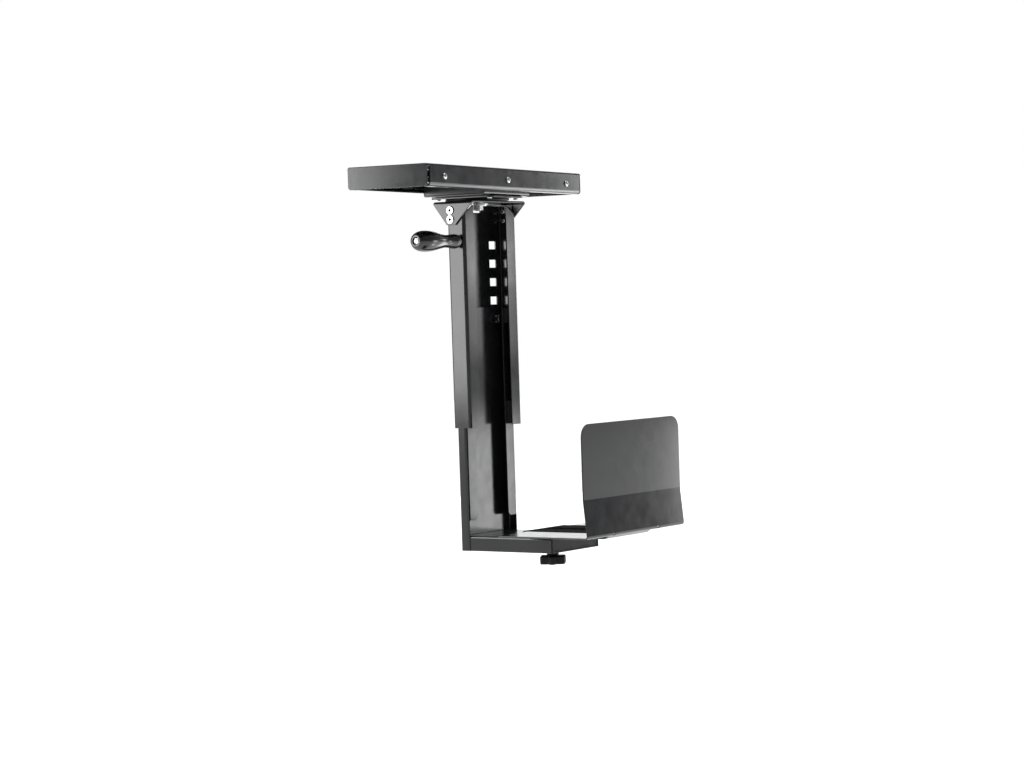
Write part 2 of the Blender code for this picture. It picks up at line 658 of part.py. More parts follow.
def make_handle(column):
    face = -COLUMN_HALF
    boss = face - GAP
    grip_base = boss - HANDLE_BOSS_LENGTH - GAP
    here = (HANDLE_X, HANDLE_Z)
    join(column, rod("handle_hole", (here[0], face + 2 * SHEET, here[1]), (0, -1, 0), 4 * SHEET,
                     HANDLE_PIN + GAP, None, HEAD_FRAME))
    collar = rod("handle_boss", (here[0], boss, here[1]), (0, -1, 0), HANDLE_BOSS_LENGTH,
                 HANDLE_BOSS_RADIUS, BARE_STEEL, HEAD_FRAME, 32)
    join(collar, rod("boss_bore", (here[0], boss + SHEET, here[1]), (0, -1, 0),
                     HANDLE_BOSS_LENGTH + 2 * SHEET, HANDLE_PIN + GAP, None, HEAD_FRAME, 24))
    smooth(turned("handle_grip", grip_profile(), (here[0], grip_base, here[1]), (0, -1, 0),
                  BLACK_PLASTIC, HEAD_FRAME, 32))
    seat = grip_base - (GRIP_LENGTH - RECESS_DEPTH) - GAP
    tip = face + SHEET
    head = RECESS_RADIUS - 2 * GAP
    length = tip - seat
    high = PIN_HEAD_HEIGHT
    slot_floor = high - PIN_SLOT_DEPTH
    profile = [(0.0, high), (head * 0.75, high * 0.9), (head, slot_floor), (head, 0.0),
               (HANDLE_PIN, 0.0), (HANDLE_PIN, -length), (0.0, -length)]
    pin = turned("handle_pin", profile, (here[0], seat, here[1]), (0, -1, 0), BARE_STEEL,
                 HEAD_FRAME)
    slot = PIN_SLOT_HALF
    join(pin, box("pin_slot", (here[0] - slot, seat - 2 * high, here[1] - 2 * head),
                  (here[0] + slot, seat - slot_floor, here[1] + 2 * head), None, HEAD_FRAME))


# ---- lower column, shelf arm and lock pins -------------------------------------------
def make_lower_column():
    half = INNER_HALF
    lip = half - INNER_LIP
    corners = [(INNER_FRONT, -lip), (INNER_FRONT, -half), (INNER_BACK, -half),
               (INNER_BACK, half), (INNER_FRONT, half), (INNER_FRONT, lip)]
    column = folded("lower_column", rounded(corners, [BEND_RADIUS] * 4), "xy", INNER_END,
                    INNER_TOP, BLACK_STEEL, HEAD_FRAME)
    edge = ARM_HALF + GAP * 0.8     # just inside the side walls, so they stay whole
    corner = 3 * SHEET
    top = INNER_END + LIP_STOP
    outline = [(-edge, INNER_END - SHEET), (edge, INNER_END - SHEET), (edge, top),
               (lip + corner, top), *arc((lip + corner, top + corner), corner, 270, 180),
               *arc((-lip - corner, top + corner), corner, 0, -90), (-edge, top)]
    join(column, slab("lip_opening", outline, "yz", INNER_FRONT - BEND_RADIUS,
                      INNER_FRONT + SHEET, None, HEAD_FRAME))
    for side in (-1.0, 1.0):
        join(column, rod("lock_hole", (INNER_BACK - SHEET, side * HOLE_OFFSET, lock_height()),
                         (1, 0, 0), 4 * SHEET, LOCK_RADIUS + GAP, None, HEAD_FRAME))
    return column


def lock_height():
    return HOLE_FIRST - LOCK_ROW * HOLE_PITCH


def make_lock_pins():
    tip = INNER_BACK + GAP / 2
    head = INNER_BACK + SHEET + LOCK_TRAVEL + GAP
    length = head - tip
    for side, hand in ((-1.0, "left"), (1.0, "right")):
        profile = [(0.0, LOCK_HEAD_LENGTH), (LOCK_HEAD_RADIUS * 0.8, LOCK_HEAD_LENGTH),
                   (LOCK_HEAD_RADIUS, LOCK_HEAD_LENGTH * 0.7), (LOCK_HEAD_RADIUS, 0.0),
                   (LOCK_RADIUS, 0.0), (LOCK_RADIUS, -length), (0.0, -length)]
        smooth(turned(f"lock_pin_{hand}", profile, (head, side * HOLE_OFFSET, lock_height()),
                      (1, 0, 0), BARE_STEEL, HEAD_FRAME))


def make_arm():
    corners = [(-ARM_HALF, INNER_END), (-ARM_HALF, ARM_TOP), (ARM_HALF, ARM_TOP),
               (ARM_HALF, INNER_END)]
    arm = folded("shelf_arm", rounded(corners, [BEND_RADIUS * 0.8] * 2), "yz", ARM_BACK,
                 ARM_END, BLACK_STEEL, HEAD_FRAME)
    join(arm, rod("clamp_hole", (CLAMP_X, 0, ARM_TOP - 2 * SHEET), (0, 0, 1), 4 * SHEET,
                  CLAMP_HOLE, None, HEAD_FRAME))
    face = ARM_END + GAP
    inside = ARM_HALF - SHEET - GAP
    cap = box("arm_end_cap", (face, -ARM_HALF, INNER_END), (face + CAP_FACE, ARM_HALF, ARM_TOP),
              BLACK_PLASTIC, HEAD_FRAME)
    join(cap, box("cap_plug", (ARM_END - CAP_PLUG, -inside + SHEET, INNER_END + SHEET),
                  (face + CAP_FACE / 2, inside - SHEET, ARM_TOP - SHEET - GAP), None,
                  HEAD_FRAME), "UNION")
    return arm


# ---- side panel ----------------------------------------------------------------------
def make_side_panel():
    bottom = PANEL_X + PANEL_FLARE
    fold = FOOT_UNDER + FOLD_RISE
    top = FOOT_UNDER + PANEL_HEIGHT
    corners = [(FOOT_BACK, FOOT_UNDER), (bottom, FOOT_UNDER), (PANEL_X, fold), (PANEL_X, top)]
    path = rounded(corners, [BEND_RADIUS, 4 * BEND_RADIUS])
    panel = folded("side_panel", path, "xz", -PANEL_HALF, PANEL_HALF, BLACK_STEEL, HEAD_FRAME)
    through = (PANEL_X - 3 * SHEET, PANEL_X + SHEET)
    for side in (-1.0, 1.0):
        centre = (side * (PANEL_HALF - PANEL_CORNER), top - PANEL_CORNER)
        end = 0 if side > 0 else 180
        past = side * (PANEL_HALF + SHEET)
        outline = [*arc(centre, PANEL_CORNER, 90, end, CORNER_STEPS), (past, top - PANEL_CORNER),
                   (past, top + SHEET), (centre[0], top + SHEET)]
        join(panel, slab("panel_corner", outline, "yz", *through, None, HEAD_FRAME))
        join(panel, rod("bend_relief", (bottom - 3 * SHEET, side * (TONGUE_HALF + RELIEF_RADIUS),
                                        FOOT_UNDER + RELIEF_RADIUS), (1, 0, 0), 6 * SHEET,
                        RELIEF_RADIUS, None, HEAD_FRAME))
    opening = TONGUE_HALF + 2 * GAP
    join(panel, box("tongue_opening", (FOOT_BACK - SHEET, -opening, FOOT_UNDER - SHEET),
                    (RAMP_END, opening, FOOT_TOP + SHEET), None, HEAD_FRAME))
    join(panel, make_tongue(), "UNION")
    return panel


def make_tongue():
    inset = (SHEET - TONGUE_SHEET) / 2
    path = [(TONGUE_BACK, TONGUE_UNDER), (RAMP_START, TONGUE_UNDER),
            (RAMP_END, FOOT_UNDER + inset), (RAMP_END + BEND_RADIUS, FOOT_UNDER + inset)]
    tongue = folded("tongue", path, "xz", -TONGUE_HALF, TONGUE_HALF, None, HEAD_FRAME,
                    TONGUE_SHEET)
    join(tongue, slab("tongue_slot", slot_outline(CLAMP_HOLE), "xy", TONGUE_UNDER - SHEET,
                      TONGUE_TOP + SHEET, None, HEAD_FRAME))
    return tongue


def slot_outline(radius):
    """The slot that lets the panel slide past the clamp's bolt."""
    return [*arc((CLAMP_X, 0), radius, 270, 90, CORNER_STEPS),
            *arc((CLAMP_X + PANEL_TRAVEL, 0), radius, 90, -90, CORNER_STEPS)]


def make_mat():
    half = TONGUE_HALF - MAT_MARGIN
    low = TONGUE_TOP + GAP
    high = low + MAT_SHEET
    mat = box("foot_mat", (TONGUE_BACK + MAT_MARGIN, -half, low),
              (RAMP_START - MAT_MARGIN, half, high), RUBBER, HEAD_FRAME)
    join(mat, slab("mat_slot", slot_outline(CLAMP_HEAD_RADIUS + 2 * GAP), "xy", low - SHEET,
                   high + SHEET, None, HEAD_FRAME))


# ---- clamp ---------------------------------------------------------------------------
def make_clamp():
    washer_top = ARM_TOP - SHEET - GAP
    neck_top = washer_top - CLAMP_WASHER_SHEET - GAP
    head_top = INNER_END - KNOB_CLEAR
    head_low = head_top - KNOB_HEIGHT
    seat = TONGUE_TOP + GAP
    end = head_low + CLAMP_BOLT_INSET
    length = seat - end
    profile = [(0.0, CLAMP_HEAD_HEIGHT), (CLAMP_HEAD_RADIUS * 0.6, CLAMP_HEAD_HEIGHT * 0.85),
               (CLAMP_HEAD_RADIUS * 0.92, CLAMP_HEAD_HEIGHT * 0.4), (CLAMP_HEAD_RADIUS, 0.0),
               (CLAMP_RADIUS, 0.0), (CLAMP_RADIUS, -length), (0.0, -length)]
    smooth(turned("clamp_bolt", profile, (CLAMP_X, 0, seat), (0, 0, 1), BARE_STEEL, HEAD_FRAME))
    washer = rod("clamp_washer", (CLAMP_X, 0, washer_top - CLAMP_WASHER_SHEET), (0, 0, 1),
                 CLAMP_WASHER_SHEET, CLAMP_WASHER_RADIUS, BARE_STEEL, HEAD_FRAME, 28)
    bore = rod("clamp_bore", (CLAMP_X, 0, head_low - SHEET), (0, 0, 1), ARM_TOP - head_low,
               CLAMP_HOLE, None, HEAD_FRAME, 24)
    join(washer, bore)
    outline = []
    count = KNOB_LOBES * 8
    for index in range(count):
        angle = 2 * math.pi * index / count
        radius = KNOB_RADIUS + KNOB_LOBE * math.cos(KNOB_LOBES * angle)
        outline.append((radius * math.cos(angle), radius * math.sin(angle)))
    knob = slab("clamp_knob", outline, "xy", head_low, head_top, BLACK_PLASTIC, KNOB_FRAME)
    join(knob, rod("knob_neck", (0, 0, head_top - SHEET), (0, 0, 1),
                   neck_top - head_top + SHEET, KNOB_NECK_RADIUS, None, KNOB_FRAME, 28), "UNION")
    join(knob, bore)
    join(knob, rod("insert_pocket", (0, 0, head_low - SHEET), (0, 0, 1),
                   INSERT_LENGTH + SHEET + GAP, INSERT_RADIUS + GAP, None, KNOB_FRAME, 24))
    insert = rod("knob_insert", (0, 0, head_low + GAP), (0, 0, 1), INSERT_LENGTH - GAP,
                 INSERT_RADIUS, BARE_STEEL, KNOB_FRAME, 24)
    join(insert, bore)


make_track()
make_rails()
make_bumpers()
make_carriage()
make_pivot()
yoke_piece = make_yoke()
upper_column = make_upper_column()
make_rivets(yoke_piece, upper_column)
make_guides()
make_handle(upper_column)
make_lower_column()
make_lock_pins()
make_arm()
make_side_panel()
make_mat()
make_clamp()
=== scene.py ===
"""Looks of the under-desk computer holder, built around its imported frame."""
import json
import math

import bmesh
import bpy
from mathutils import Matrix, Vector


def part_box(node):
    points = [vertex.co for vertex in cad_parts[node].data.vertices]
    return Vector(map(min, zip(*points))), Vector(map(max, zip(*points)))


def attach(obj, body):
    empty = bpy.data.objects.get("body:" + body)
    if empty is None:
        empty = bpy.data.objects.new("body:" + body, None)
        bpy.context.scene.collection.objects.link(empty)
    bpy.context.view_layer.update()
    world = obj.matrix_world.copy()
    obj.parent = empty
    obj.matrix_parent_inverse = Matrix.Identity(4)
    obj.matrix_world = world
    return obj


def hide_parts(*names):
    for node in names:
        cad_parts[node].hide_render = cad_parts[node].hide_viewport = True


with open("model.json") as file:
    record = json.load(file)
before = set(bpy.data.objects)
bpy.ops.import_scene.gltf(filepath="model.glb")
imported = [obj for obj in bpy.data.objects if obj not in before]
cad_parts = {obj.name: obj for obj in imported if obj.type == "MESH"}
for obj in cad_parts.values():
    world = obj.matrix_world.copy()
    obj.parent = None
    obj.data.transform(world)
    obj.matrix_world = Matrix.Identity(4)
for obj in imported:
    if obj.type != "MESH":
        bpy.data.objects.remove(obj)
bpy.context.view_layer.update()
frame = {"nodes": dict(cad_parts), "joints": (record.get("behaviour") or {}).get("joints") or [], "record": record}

# ---- sizes that the frame doesn't give -------------------------------------------------
SHEET = 0.0020            # wall of the folded steel
YOKE_SHEET = 0.0025
BEND = 0.0040             # outside radius of a fold
EDGE = 0.00045            # rounding of a cut edge under the powder coat
FINE_EDGE = 0.00025
PLASTIC_EDGE = 0.0003
NUT_EDGE = 0.0005
PANEL_EDGE = 0.0006
TIP_EASE = 0.0008         # chamfer at the end of a pin or a bolt
BEND_STEPS = 6
TRACK_BEND = 0.0030
TRACK_ROLL = 0.0055       # radius of the rolled lower edge
TRACK_LIP = 0.0095
NEAR_RELIEF = 0.0085      # the track's side flanges stop short of its ends, more at the near one
FAR_RELIEF = 0.0030
DESK_HOLE_REACH = 0.183
DESK_HOLE_RADIUS = 0.0028
SCREW_SHANK = 0.0020
SWIVEL_SHANK = 0.0018
PLATE_CORNER = 0.0075
PIVOT_RADIUS = 0.0050
EAR_HALF = 0.0070         # half the width of the yoke's ear at its foot
EAR_SHIFT = 0.0005
RIVET_BORE = 0.0019
RIVET_SHANK = 0.0030
COLUMN_LIP = 0.0220
COLUMN_CORNER_CUT = 0.0140
NOTCH_HALF = 0.0140
NOTCH_DEPTH = 0.0095
HOLE_PITCH = 0.0250
HOLE_COUNT = 9
HOLE_FIRST = -0.0995
HOLE_WIDTH = 0.0150
HOLE_HEIGHT = 0.0105
HOLE_INSET = 0.0195       # column's side to the middle of its row of holes
INNER_LIP = 0.0210
LIP_STOP = 0.0405         # the lips end this far above the lower column's foot
LOCK_RADIUS = 0.0040
LOCK_TRAVEL = 0.0040
HANDLE_PIN = 0.0030
GRIP_BORE = 0.0034
RECESS_RADIUS = 0.0050    # recess in the grip's end for its screw
RECESS_DEPTH = 0.0040
PIN_SLOT = 0.0012
ARM_BEND = 0.0032
CAP_RIM = 0.0022
CAP_SINK = 0.0008
CLAMP_HOLE = 0.0043
CLAMP_SHANK = 0.0040
KNOB_HEAD = 0.0115
KNOB_LOBES = 6
KNOB_RADIUS = 0.0162
KNOB_LOBE = 0.0025
KNOB_NECK = 0.0080
KNOB_BORE = 0.0300        # depth of the bore from below the knob
PANEL_CORNER = 0.0170
FOOT_BACK = 0.1000
FOOT_RISE = 0.0057        # arm's top to the foot's underside
FOLD_RISE = 0.0500        # foot's underside to the panel's fold
PANEL_FLARE = 0.0050
TONGUE_HALF = 0.0500
TONGUE_RAMP = 0.0080
TONGUE_SHEET = 0.0018
RELIEF_RADIUS = 0.0024
PANEL_TRAVEL = 0.0850
RIB_PITCH = 0.0060
RIB_DEPTH = 0.0010
GAP = 0.0003

# ---- camera, lights and floor ----------------------------------------------------------
CAMERA_PLACE = (2.0812, -2.8487, -0.1866)
CAMERA_HEADING = -0.6200
CAMERA_PITCH = -0.0287
CAMERA_ROLL = -0.0326
CAMERA_LENS = 92.04       # on a 36 mm sensor
FLOOR_DROP = 0.72         # desk's underside to the floor
FLOOR_RADIUS = 12.0

RECORD = frame["record"]
BODY_OF = {node: body for body, nodes in RECORD["behaviour"]["bodies"].items() for node in nodes}
SLOT_OF = {part["node"]: part["material_slot"] for part in RECORD["subparts"]}
SLIDE_AXIS = next(joint["axis"] for joint in frame["joints"] if joint["name"] == "track_slide")
TRACK_TURN = math.atan2(-SLIDE_AXIS[0], SLIDE_AXIS[1])


# ---- modelling by hand -----------------------------------------------------------------
def clear_selection():
    bpy.ops.object.select_all(action="DESELECT")


def select_only(piece):
    clear_selection()
    piece.select_set(True)
    bpy.context.view_layer.objects.active = piece


def enter(piece):
    select_only(piece)
    bpy.ops.object.mode_set(mode="EDIT")


def leave():
    bpy.ops.object.mode_set(mode="OBJECT")


def settle(name):
    """Names the new piece and puts its place into its mesh."""
    piece = bpy.context.active_object
    piece.name = name
    piece.data.name = name
    bpy.ops.object.transform_apply(location=True, rotation=True, scale=True)
    return piece


def cuboid(name, low, high):
    low, high = Vector(low), Vector(high)
    clear_selection()
    bpy.ops.mesh.primitive_cube_add(size=1, location=(low + high) / 2)
    bpy.context.active_object.scale = high - low
    return settle(name)


def along(axis):
    """Turns a shape made along +Z to point along an axis."""
    return Vector((0, 0, 1)).rotation_difference(Vector(axis))


def cylinder(name, base, axis, length, radius, sides=32):
    clear_selection()
    middle = Vector(base) + Vector(axis) * length / 2
    bpy.ops.mesh.primitive_cylinder_add(vertices=sides, radius=radius, depth=length, location=middle,
                                        rotation=along(axis).to_euler())
    return settle(name)


PLANES = {
    "xy": lambda u, v, w: Vector((u, v, w)),
    "xz": lambda u, v, w: Vector((u, w, v)),
    "yz": lambda u, v, w: Vector((w, u, v)),
}


def pick(piece, kind, test):
    """In edit mode, selects the vertices, edges or faces that pass a test."""
    bpy.ops.mesh.select_mode(type={"verts": "VERT", "edges": "EDGE", "faces": "FACE"}[kind])
    bpy.ops.mesh.select_all(action="DESELECT")
    shape = bmesh.from_edit_mesh(piece.data)
    for item in getattr(shape, kind):
        if test(item):
            item.select_set(True)
    bmesh.update_edit_mesh(piece.data)


def middle(edge):
    return (edge.verts[0].co + edge.verts[1].co) / 2


def face_out(piece):
    enter(piece)
    bpy.ops.mesh.select_all(action="SELECT")
    bpy.ops.mesh.remove_doubles(threshold=0.00001)
    bpy.ops.mesh.normals_make_consistent(inside=False)
    leave()
    return piece


def plate(name, outline, plane, low, high):
    """A flat plate: a filled ring laid on its outline and extruded through its thickness."""
    place = PLANES[plane]
    clear_selection()
    bpy.ops.mesh.primitive_circle_add(vertices=len(outline), fill_type="NGON")
    piece = settle(name)
    for corner, (u, v) in zip(piece.data.vertices, outline):
        corner.co = place(u, v, low)
    enter(piece)
    bpy.ops.mesh.select_all(action="SELECT")
    rise = place(0, 0, high) - place(0, 0, low)
    bpy.ops.mesh.extrude_region_move(TRANSFORM_OT_translate={"value": rise})
    leave()
    return face_out(piece)


def sheet_fold(name, corners, bends, plane, low, high, inside, wall=SHEET):
    """Folded sheet: a strip extruded from corner to corner, its folds rounded, then its wall added."""
    place = PLANES[plane]
    clear_selection()
    bpy.ops.mesh.primitive_plane_add(size=1)
    piece = settle(name)
    starts = [(corners[0], low), (corners[0], high), (corners[1], low), (corners[1], high)]
    for vertex, ((u, v), w) in zip(piece.data.vertices, starts):
        vertex.co = place(u, v, w)
    enter(piece)
    end = place(*corners[1], (low + high) / 2)
    pick(piece, "edges", lambda edge: (middle(edge) - end).length < 1e-6)
    for before, after in zip(corners[1:], corners[2:]):
        step = place(*after, 0) - place(*before, 0)
        bpy.ops.mesh.extrude_region_move(TRANSFORM_OT_translate={"value": step})
    for before, here, after, radius in zip(corners, corners[1:], corners[2:], bends):
        fold = place(*here, (low + high) / 2)
        turn = (Vector(here) - Vector(before)).angle(Vector(after) - Vector(here))
        pick(piece, "edges", lambda edge: (middle(edge) - fold).length < 1e-6)
        bpy.ops.mesh.bevel(offset=radius * math.tan(turn / 2), segments=BEND_STEPS, affect="EDGES")
    leave()
    widest = max(piece.data.polygons, key=lambda face: face.area)
    grows = (place(*inside, (low + high) / 2) - widest.center).dot(widest.normal)
    shell = piece.modifiers.new("wall", "SOLIDIFY")
    shell.thickness = wall
    shell.offset = 1.0 if grows > 0 else -1.0
    shell.use_even_offset = True
    bpy.ops.object.modifier_apply(modifier="wall")
    return face_out(piece)


def turned(name, profile, base, axis, sides=32):
    """A turned piece: a ring extruded from one (radius, height) point to the next."""
    clear_selection()
    bpy.ops.mesh.primitive_circle_add(vertices=sides, radius=profile[0][0], location=(0, 0, profile[0][1]))
    piece = settle(name)
    enter(piece)
    bpy.ops.mesh.select_all(action="SELECT")
    for (wide, low), (radius, height) in zip(profile, profile[1:]):
        bpy.ops.mesh.extrude_region_move(TRANSFORM_OT_translate={"value": (0, 0, height - low)})
        ratio = radius / wide
        bpy.ops.transform.resize(value=(ratio, ratio, 1), center_override=(0, 0, height))
    if profile[0] != profile[-1]:
        bpy.ops.mesh.select_mode(type="EDGE")
        bpy.ops.mesh.select_all(action="SELECT")
        bpy.ops.mesh.fill_holes(sides=0)
    leave()
    face_out(piece)
    piece.data.transform(Matrix.Translation(base) @ along(axis).to_matrix().to_4x4())
    return piece


def combine(piece, *others, operation="DIFFERENCE"):
    for other in others:
        step = piece.modifiers.new("with", "BOOLEAN")
        step.operation = operation
        step.solver = "EXACT"
        step.object = other
        clear_selection()
        bpy.context.view_layer.objects.active = piece
        bpy.ops.object.modifier_apply(modifier="with")
        bpy.data.objects.remove(other, do_unlink=True)
    return piece


def cut(piece, *cutters):
    return combine(piece, *cutters)


def weld(piece, *others):
    return combine(piece, *others, operation="UNION")


def round_edges(piece, test, width, segments=3):
    """Bevels the edges that pass a test."""
    enter(piece)
    pick(piece, "edges", test)
    bpy.ops.mesh.bevel(offset=width, segments=segments, affect="EDGES")
    leave()


def ease(piece, width=EDGE, segments=2, limit=35.0):
    """Eases every sharp edge and shades the piece smooth, with its flat faces kept flat."""
    select_only(piece)
    bpy.ops.object.shade_smooth()
    edges = piece.modifiers.new("edges", "BEVEL")
    edges.width = width
    edges.segments = segments
    edges.limit_method = "ANGLE"
    edges.angle_limit = math.radians(limit)
    edges.use_clamp_overlap = False
    edges.harden_normals = True
    bpy.ops.object.modifier_apply(modifier="edges")
    flats = piece.modifiers.new("flats", "WEIGHTED_NORMAL")
    flats.weight = 50
    bpy.ops.object.modifier_apply(modifier="flats")
    return piece


def copy_of(piece, name, move):
    twin = piece.copy()
    twin.data = piece.data.copy()
    twin.name = name
    twin.data.name = name
    bpy.context.scene.collection.objects.link(twin)
    twin.data.transform(move)
    return twin


def node_box(node, turn=0.0):
    """Lowest and highest corner of a CAD node, in the holder's frame or in the turned track's."""
    if turn == 0.0:
        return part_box(node)
    back = Matrix.Rotation(-turn, 3, "Z")
    points = [back @ vertex.co for vertex in frame["nodes"][node].data.vertices]
    return Vector(map(min, zip(*points))), Vector(map(max, zip(*points)))


def dress(piece, node, finish):
    """The piece stands for a CAD node: it rides on the node's body and takes the finish it is given, and the node
    is hidden.
    """
    piece.data.materials.clear()
    piece.data.materials.append(finish)
    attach(piece, BODY_OF[node])
    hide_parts(node)
    return piece


def dress_turned(piece, node, finish):
    """The same for a piece modelled along the track, which is then turned with it."""
    piece.data.transform(Matrix.Rotation(TRACK_TURN, 4, "Z"))
    return dress(piece, node, finish)


def arc(centre, radius, start, end, steps=8):
    """Points on an arc, with angles in degrees."""
    turns = [math.radians(start + (end - start) * step / steps) for step in range(steps + 1)]
    return [(centre[0] + radius * math.cos(turn), centre[1] + radius * math.sin(turn)) for turn in turns]


# ---- materials -------------------------------------------------------------------------
def colour(code):
    """An sRGB hex value as linear colour."""
    parts = [int(code[start:start + 2], 16) / 255 for start in (1, 3, 5)]
    linear = [part / 12.92 if part <= 0.04045 else ((part + 0.055) / 1.055) ** 2.4 for part in parts]
    return (*linear, 1.0)


def add_node(tree, kind, settings=None, links=None):
    """Adds a node, with its settings and socket values, and links its inputs."""
    node = tree.nodes.new(kind)
    for key, value in (settings or {}).items():
        if key in node.inputs:
            node.inputs[key].default_value = value
        else:
            setattr(node, key, value)
    for socket, source in (links or {}).items():
        tree.links.new(source, node.inputs[socket])
    return node


def blank(name):
    made = bpy.data.materials.new(name)
    made.use_nodes = True
    tree = made.node_tree
    shader = tree.nodes["Principled BSDF"]
    place = add_node(tree, "ShaderNodeTexCoord").outputs["Object"]
    return made, tree, shader, place


def ramp(tree, source, stops):
    """Turns a pattern's value into colours or greys at the given stops."""
    node = add_node(tree, "ShaderNodeValToRGB", links={"Fac": source})
    points = node.color_ramp.elements
    while len(points) < len(stops):
        points.new(0.5)
    for point, (where, shade) in zip(points, stops):
        point.position = where
        point.color = shade
    return node.outputs["Color"]


def noise(tree, place, size, detail=2.0, roughness=0.5):
    """Noise whose features are about the given size in millimetres."""
    return add_node(tree, "ShaderNodeTexNoise",
                    {"Scale": 1000.0 / size, "Detail": detail, "Roughness": roughness},
                    {"Vector": place}).outputs["Fac"]


def grey(value):
    return (value, value, value, 1.0)


def make_powder_coat():
    """Polyester powder coat on folded steel, semi-gloss black: an even dark film with a slight
    orange peel. The peel is 1 to 2 mm and is drawn at 2.5 mm so that it shows."""
    made, tree, shader, place = blank("powder_coat_black")
    cloud = noise(tree, place, 45.0, 3.0)
    tree.links.new(ramp(tree, cloud, [(0.3, colour("#121314")), (0.7, colour("#18191b"))]),
                   shader.inputs["Base Color"])
    sheen = noise(tree, place, 18.0, 4.0)
    tree.links.new(ramp(tree, sheen, [(0.3, grey(0.16)), (0.7, grey(0.22))]), shader.inputs["Roughness"])
    peel = noise(tree, place, 2.5, 1.0)
    bump = add_node(tree, "ShaderNodeBump", {"Strength": 0.025, "Distance": 0.0002}, {"Height": peel})
    tree.links.new(bump.outputs["Normal"], shader.inputs["Normal"])
    shader.inputs["IOR"].default_value = 1.52
    return made


def make_zinc():
    """Bright zinc plate on turned and pressed steel: a light metal with faint cloudy patches, whose
    colour is darkened by painted shade down in recesses and bores."""
    made, tree, shader, place = blank("zinc_plate_bright")
    cloud = noise(tree, place, 4.0, 3.0)
    plating = ramp(tree, cloud, [(0.3, colour("#b4b6b9")), (0.7, colour("#d0d0ce"))])
    # Painted shade: ambient occlusion darkens the plating's colour in recesses, bores and screw slots, in place of
    # the shade that falls there.
    painted_shade_mask = add_node(tree, "ShaderNodeAmbientOcclusion", {"only_local": True, "Distance": 0.004})
    painted_recess_shade = ramp(tree, painted_shade_mask.outputs["AO"], [(0.45, grey(0.01)), (0.85, grey(1.0))])
    plating_and_painted_shade = add_node(tree, "ShaderNodeMixRGB", {"blend_type": "MULTIPLY", "Fac": 1.0},
                      {"Color1": plating, "Color2": painted_recess_shade})
    tree.links.new(plating_and_painted_shade.outputs["Color"], shader.inputs["Base Color"])
    tree.links.new(ramp(tree, cloud, [(0.3, grey(0.34)), (0.7, grey(0.22))]), shader.inputs["Roughness"])
    scratch = noise(tree, place, 0.8, 2.0)
    bump = add_node(tree, "ShaderNodeBump", {"Strength": 0.08, "Distance": 0.0001}, {"Height": scratch})
    tree.links.new(bump.outputs["Normal"], shader.inputs["Normal"])
    shader.inputs["Metallic"].default_value = 1.0
    return made


def make_oiled_steel():
    """Turned steel pins left bare and oiled: a dark grey metal with fine turning marks."""
    made, tree, shader, place = blank("steel_oiled_dark")
    film = noise(tree, place, 3.0, 3.0)
    tree.links.new(ramp(tree, film, [(0.3, colour("#3f4143")), (0.7, colour("#56585a"))]),
                   shader.inputs["Base Color"])
    tree.links.new(ramp(tree, film, [(0.3, grey(0.30)), (0.7, grey(0.42))]), shader.inputs["Roughness"])
    turning = noise(tree, place, 0.6, 2.0)
    bump = add_node(tree, "ShaderNodeBump", {"Strength": 0.1, "Distance": 0.0001}, {"Height": turning})
    tree.links.new(bump.outputs["Normal"], shader.inputs["Normal"])
    shader.inputs["Metallic"].default_value = 1.0
    return made


def make_phenolic():
    """Phenolic grip, pressed in a polished mould: deep black with a sharp gloss and faint flow marks."""
    made, tree, shader, place = blank("phenolic_black_glossy")
    flow = noise(tree, place, 14.0, 3.0)
    tree.links.new(ramp(tree, flow, [(0.35, colour("#0b0b0c")), (0.65, colour("#121213"))]),
                   shader.inputs["Base Color"])
    tree.links.new(ramp(tree, flow, [(0.3, grey(0.12)), (0.7, grey(0.20))]), shader.inputs["Roughness"])
    ripple = noise(tree, place, 6.0, 2.0)
    bump = add_node(tree, "ShaderNodeBump", {"Strength": 0.06, "Distance": 0.0002}, {"Height": ripple})
    tree.links.new(bump.outputs["Normal"], shader.inputs["Normal"])
    shader.inputs["IOR"].default_value = 1.60
    return made


def make_polyamide():
    """Black polyamide from a spark-eroded mould: a matt, finely grained black. The grain is
    0.3 mm and is drawn at 0.9 mm so that it shows."""
    made, tree, shader, place = blank("polyamide_black_grained")
    cloud = noise(tree, place, 10.0, 2.0)
    tree.links.new(ramp(tree, cloud, [(0.3, colour("#0c0c0d")), (0.7, colour("#131314"))]),
                   shader.inputs["Base Color"])
    tree.links.new(ramp(tree, cloud, [(0.3, grey(0.40)), (0.7, grey(0.50))]), shader.inputs["Roughness"])
    grain = noise(tree, place, 0.9, 2.0)
    bump = add_node(tree, "ShaderNodeBump", {"Strength": 0.25, "Distance": 0.0002}, {"Height": grain})
    tree.links.new(bump.outputs["Normal"], shader.inputs["Normal"])
    shader.inputs["Specular IOR Level"].default_value = 0.18
    return made


def make_nylon():
    """Black nylon sliding blocks, sawn from bar: a waxy dark surface with fine saw marks."""
    made, tree, shader, place = blank("nylon_black")
    cloud = noise(tree, place, 8.0, 2.0)
    tree.links.new(ramp(tree, cloud, [(0.3, colour("#141415")), (0.7, colour("#1d1d1e"))]),
                   shader.inputs["Base Color"])
    saw = noise(tree, place, 0.7, 2.0)
    bump = add_node(tree, "ShaderNodeBump", {"Strength": 0.2, "Distance": 0.0001}, {"Height": saw})
    tree.links.new(bump.outputs["Normal"], shader.inputs["Normal"])
    shader.inputs["Roughness"].default_value = 0.48
    return made


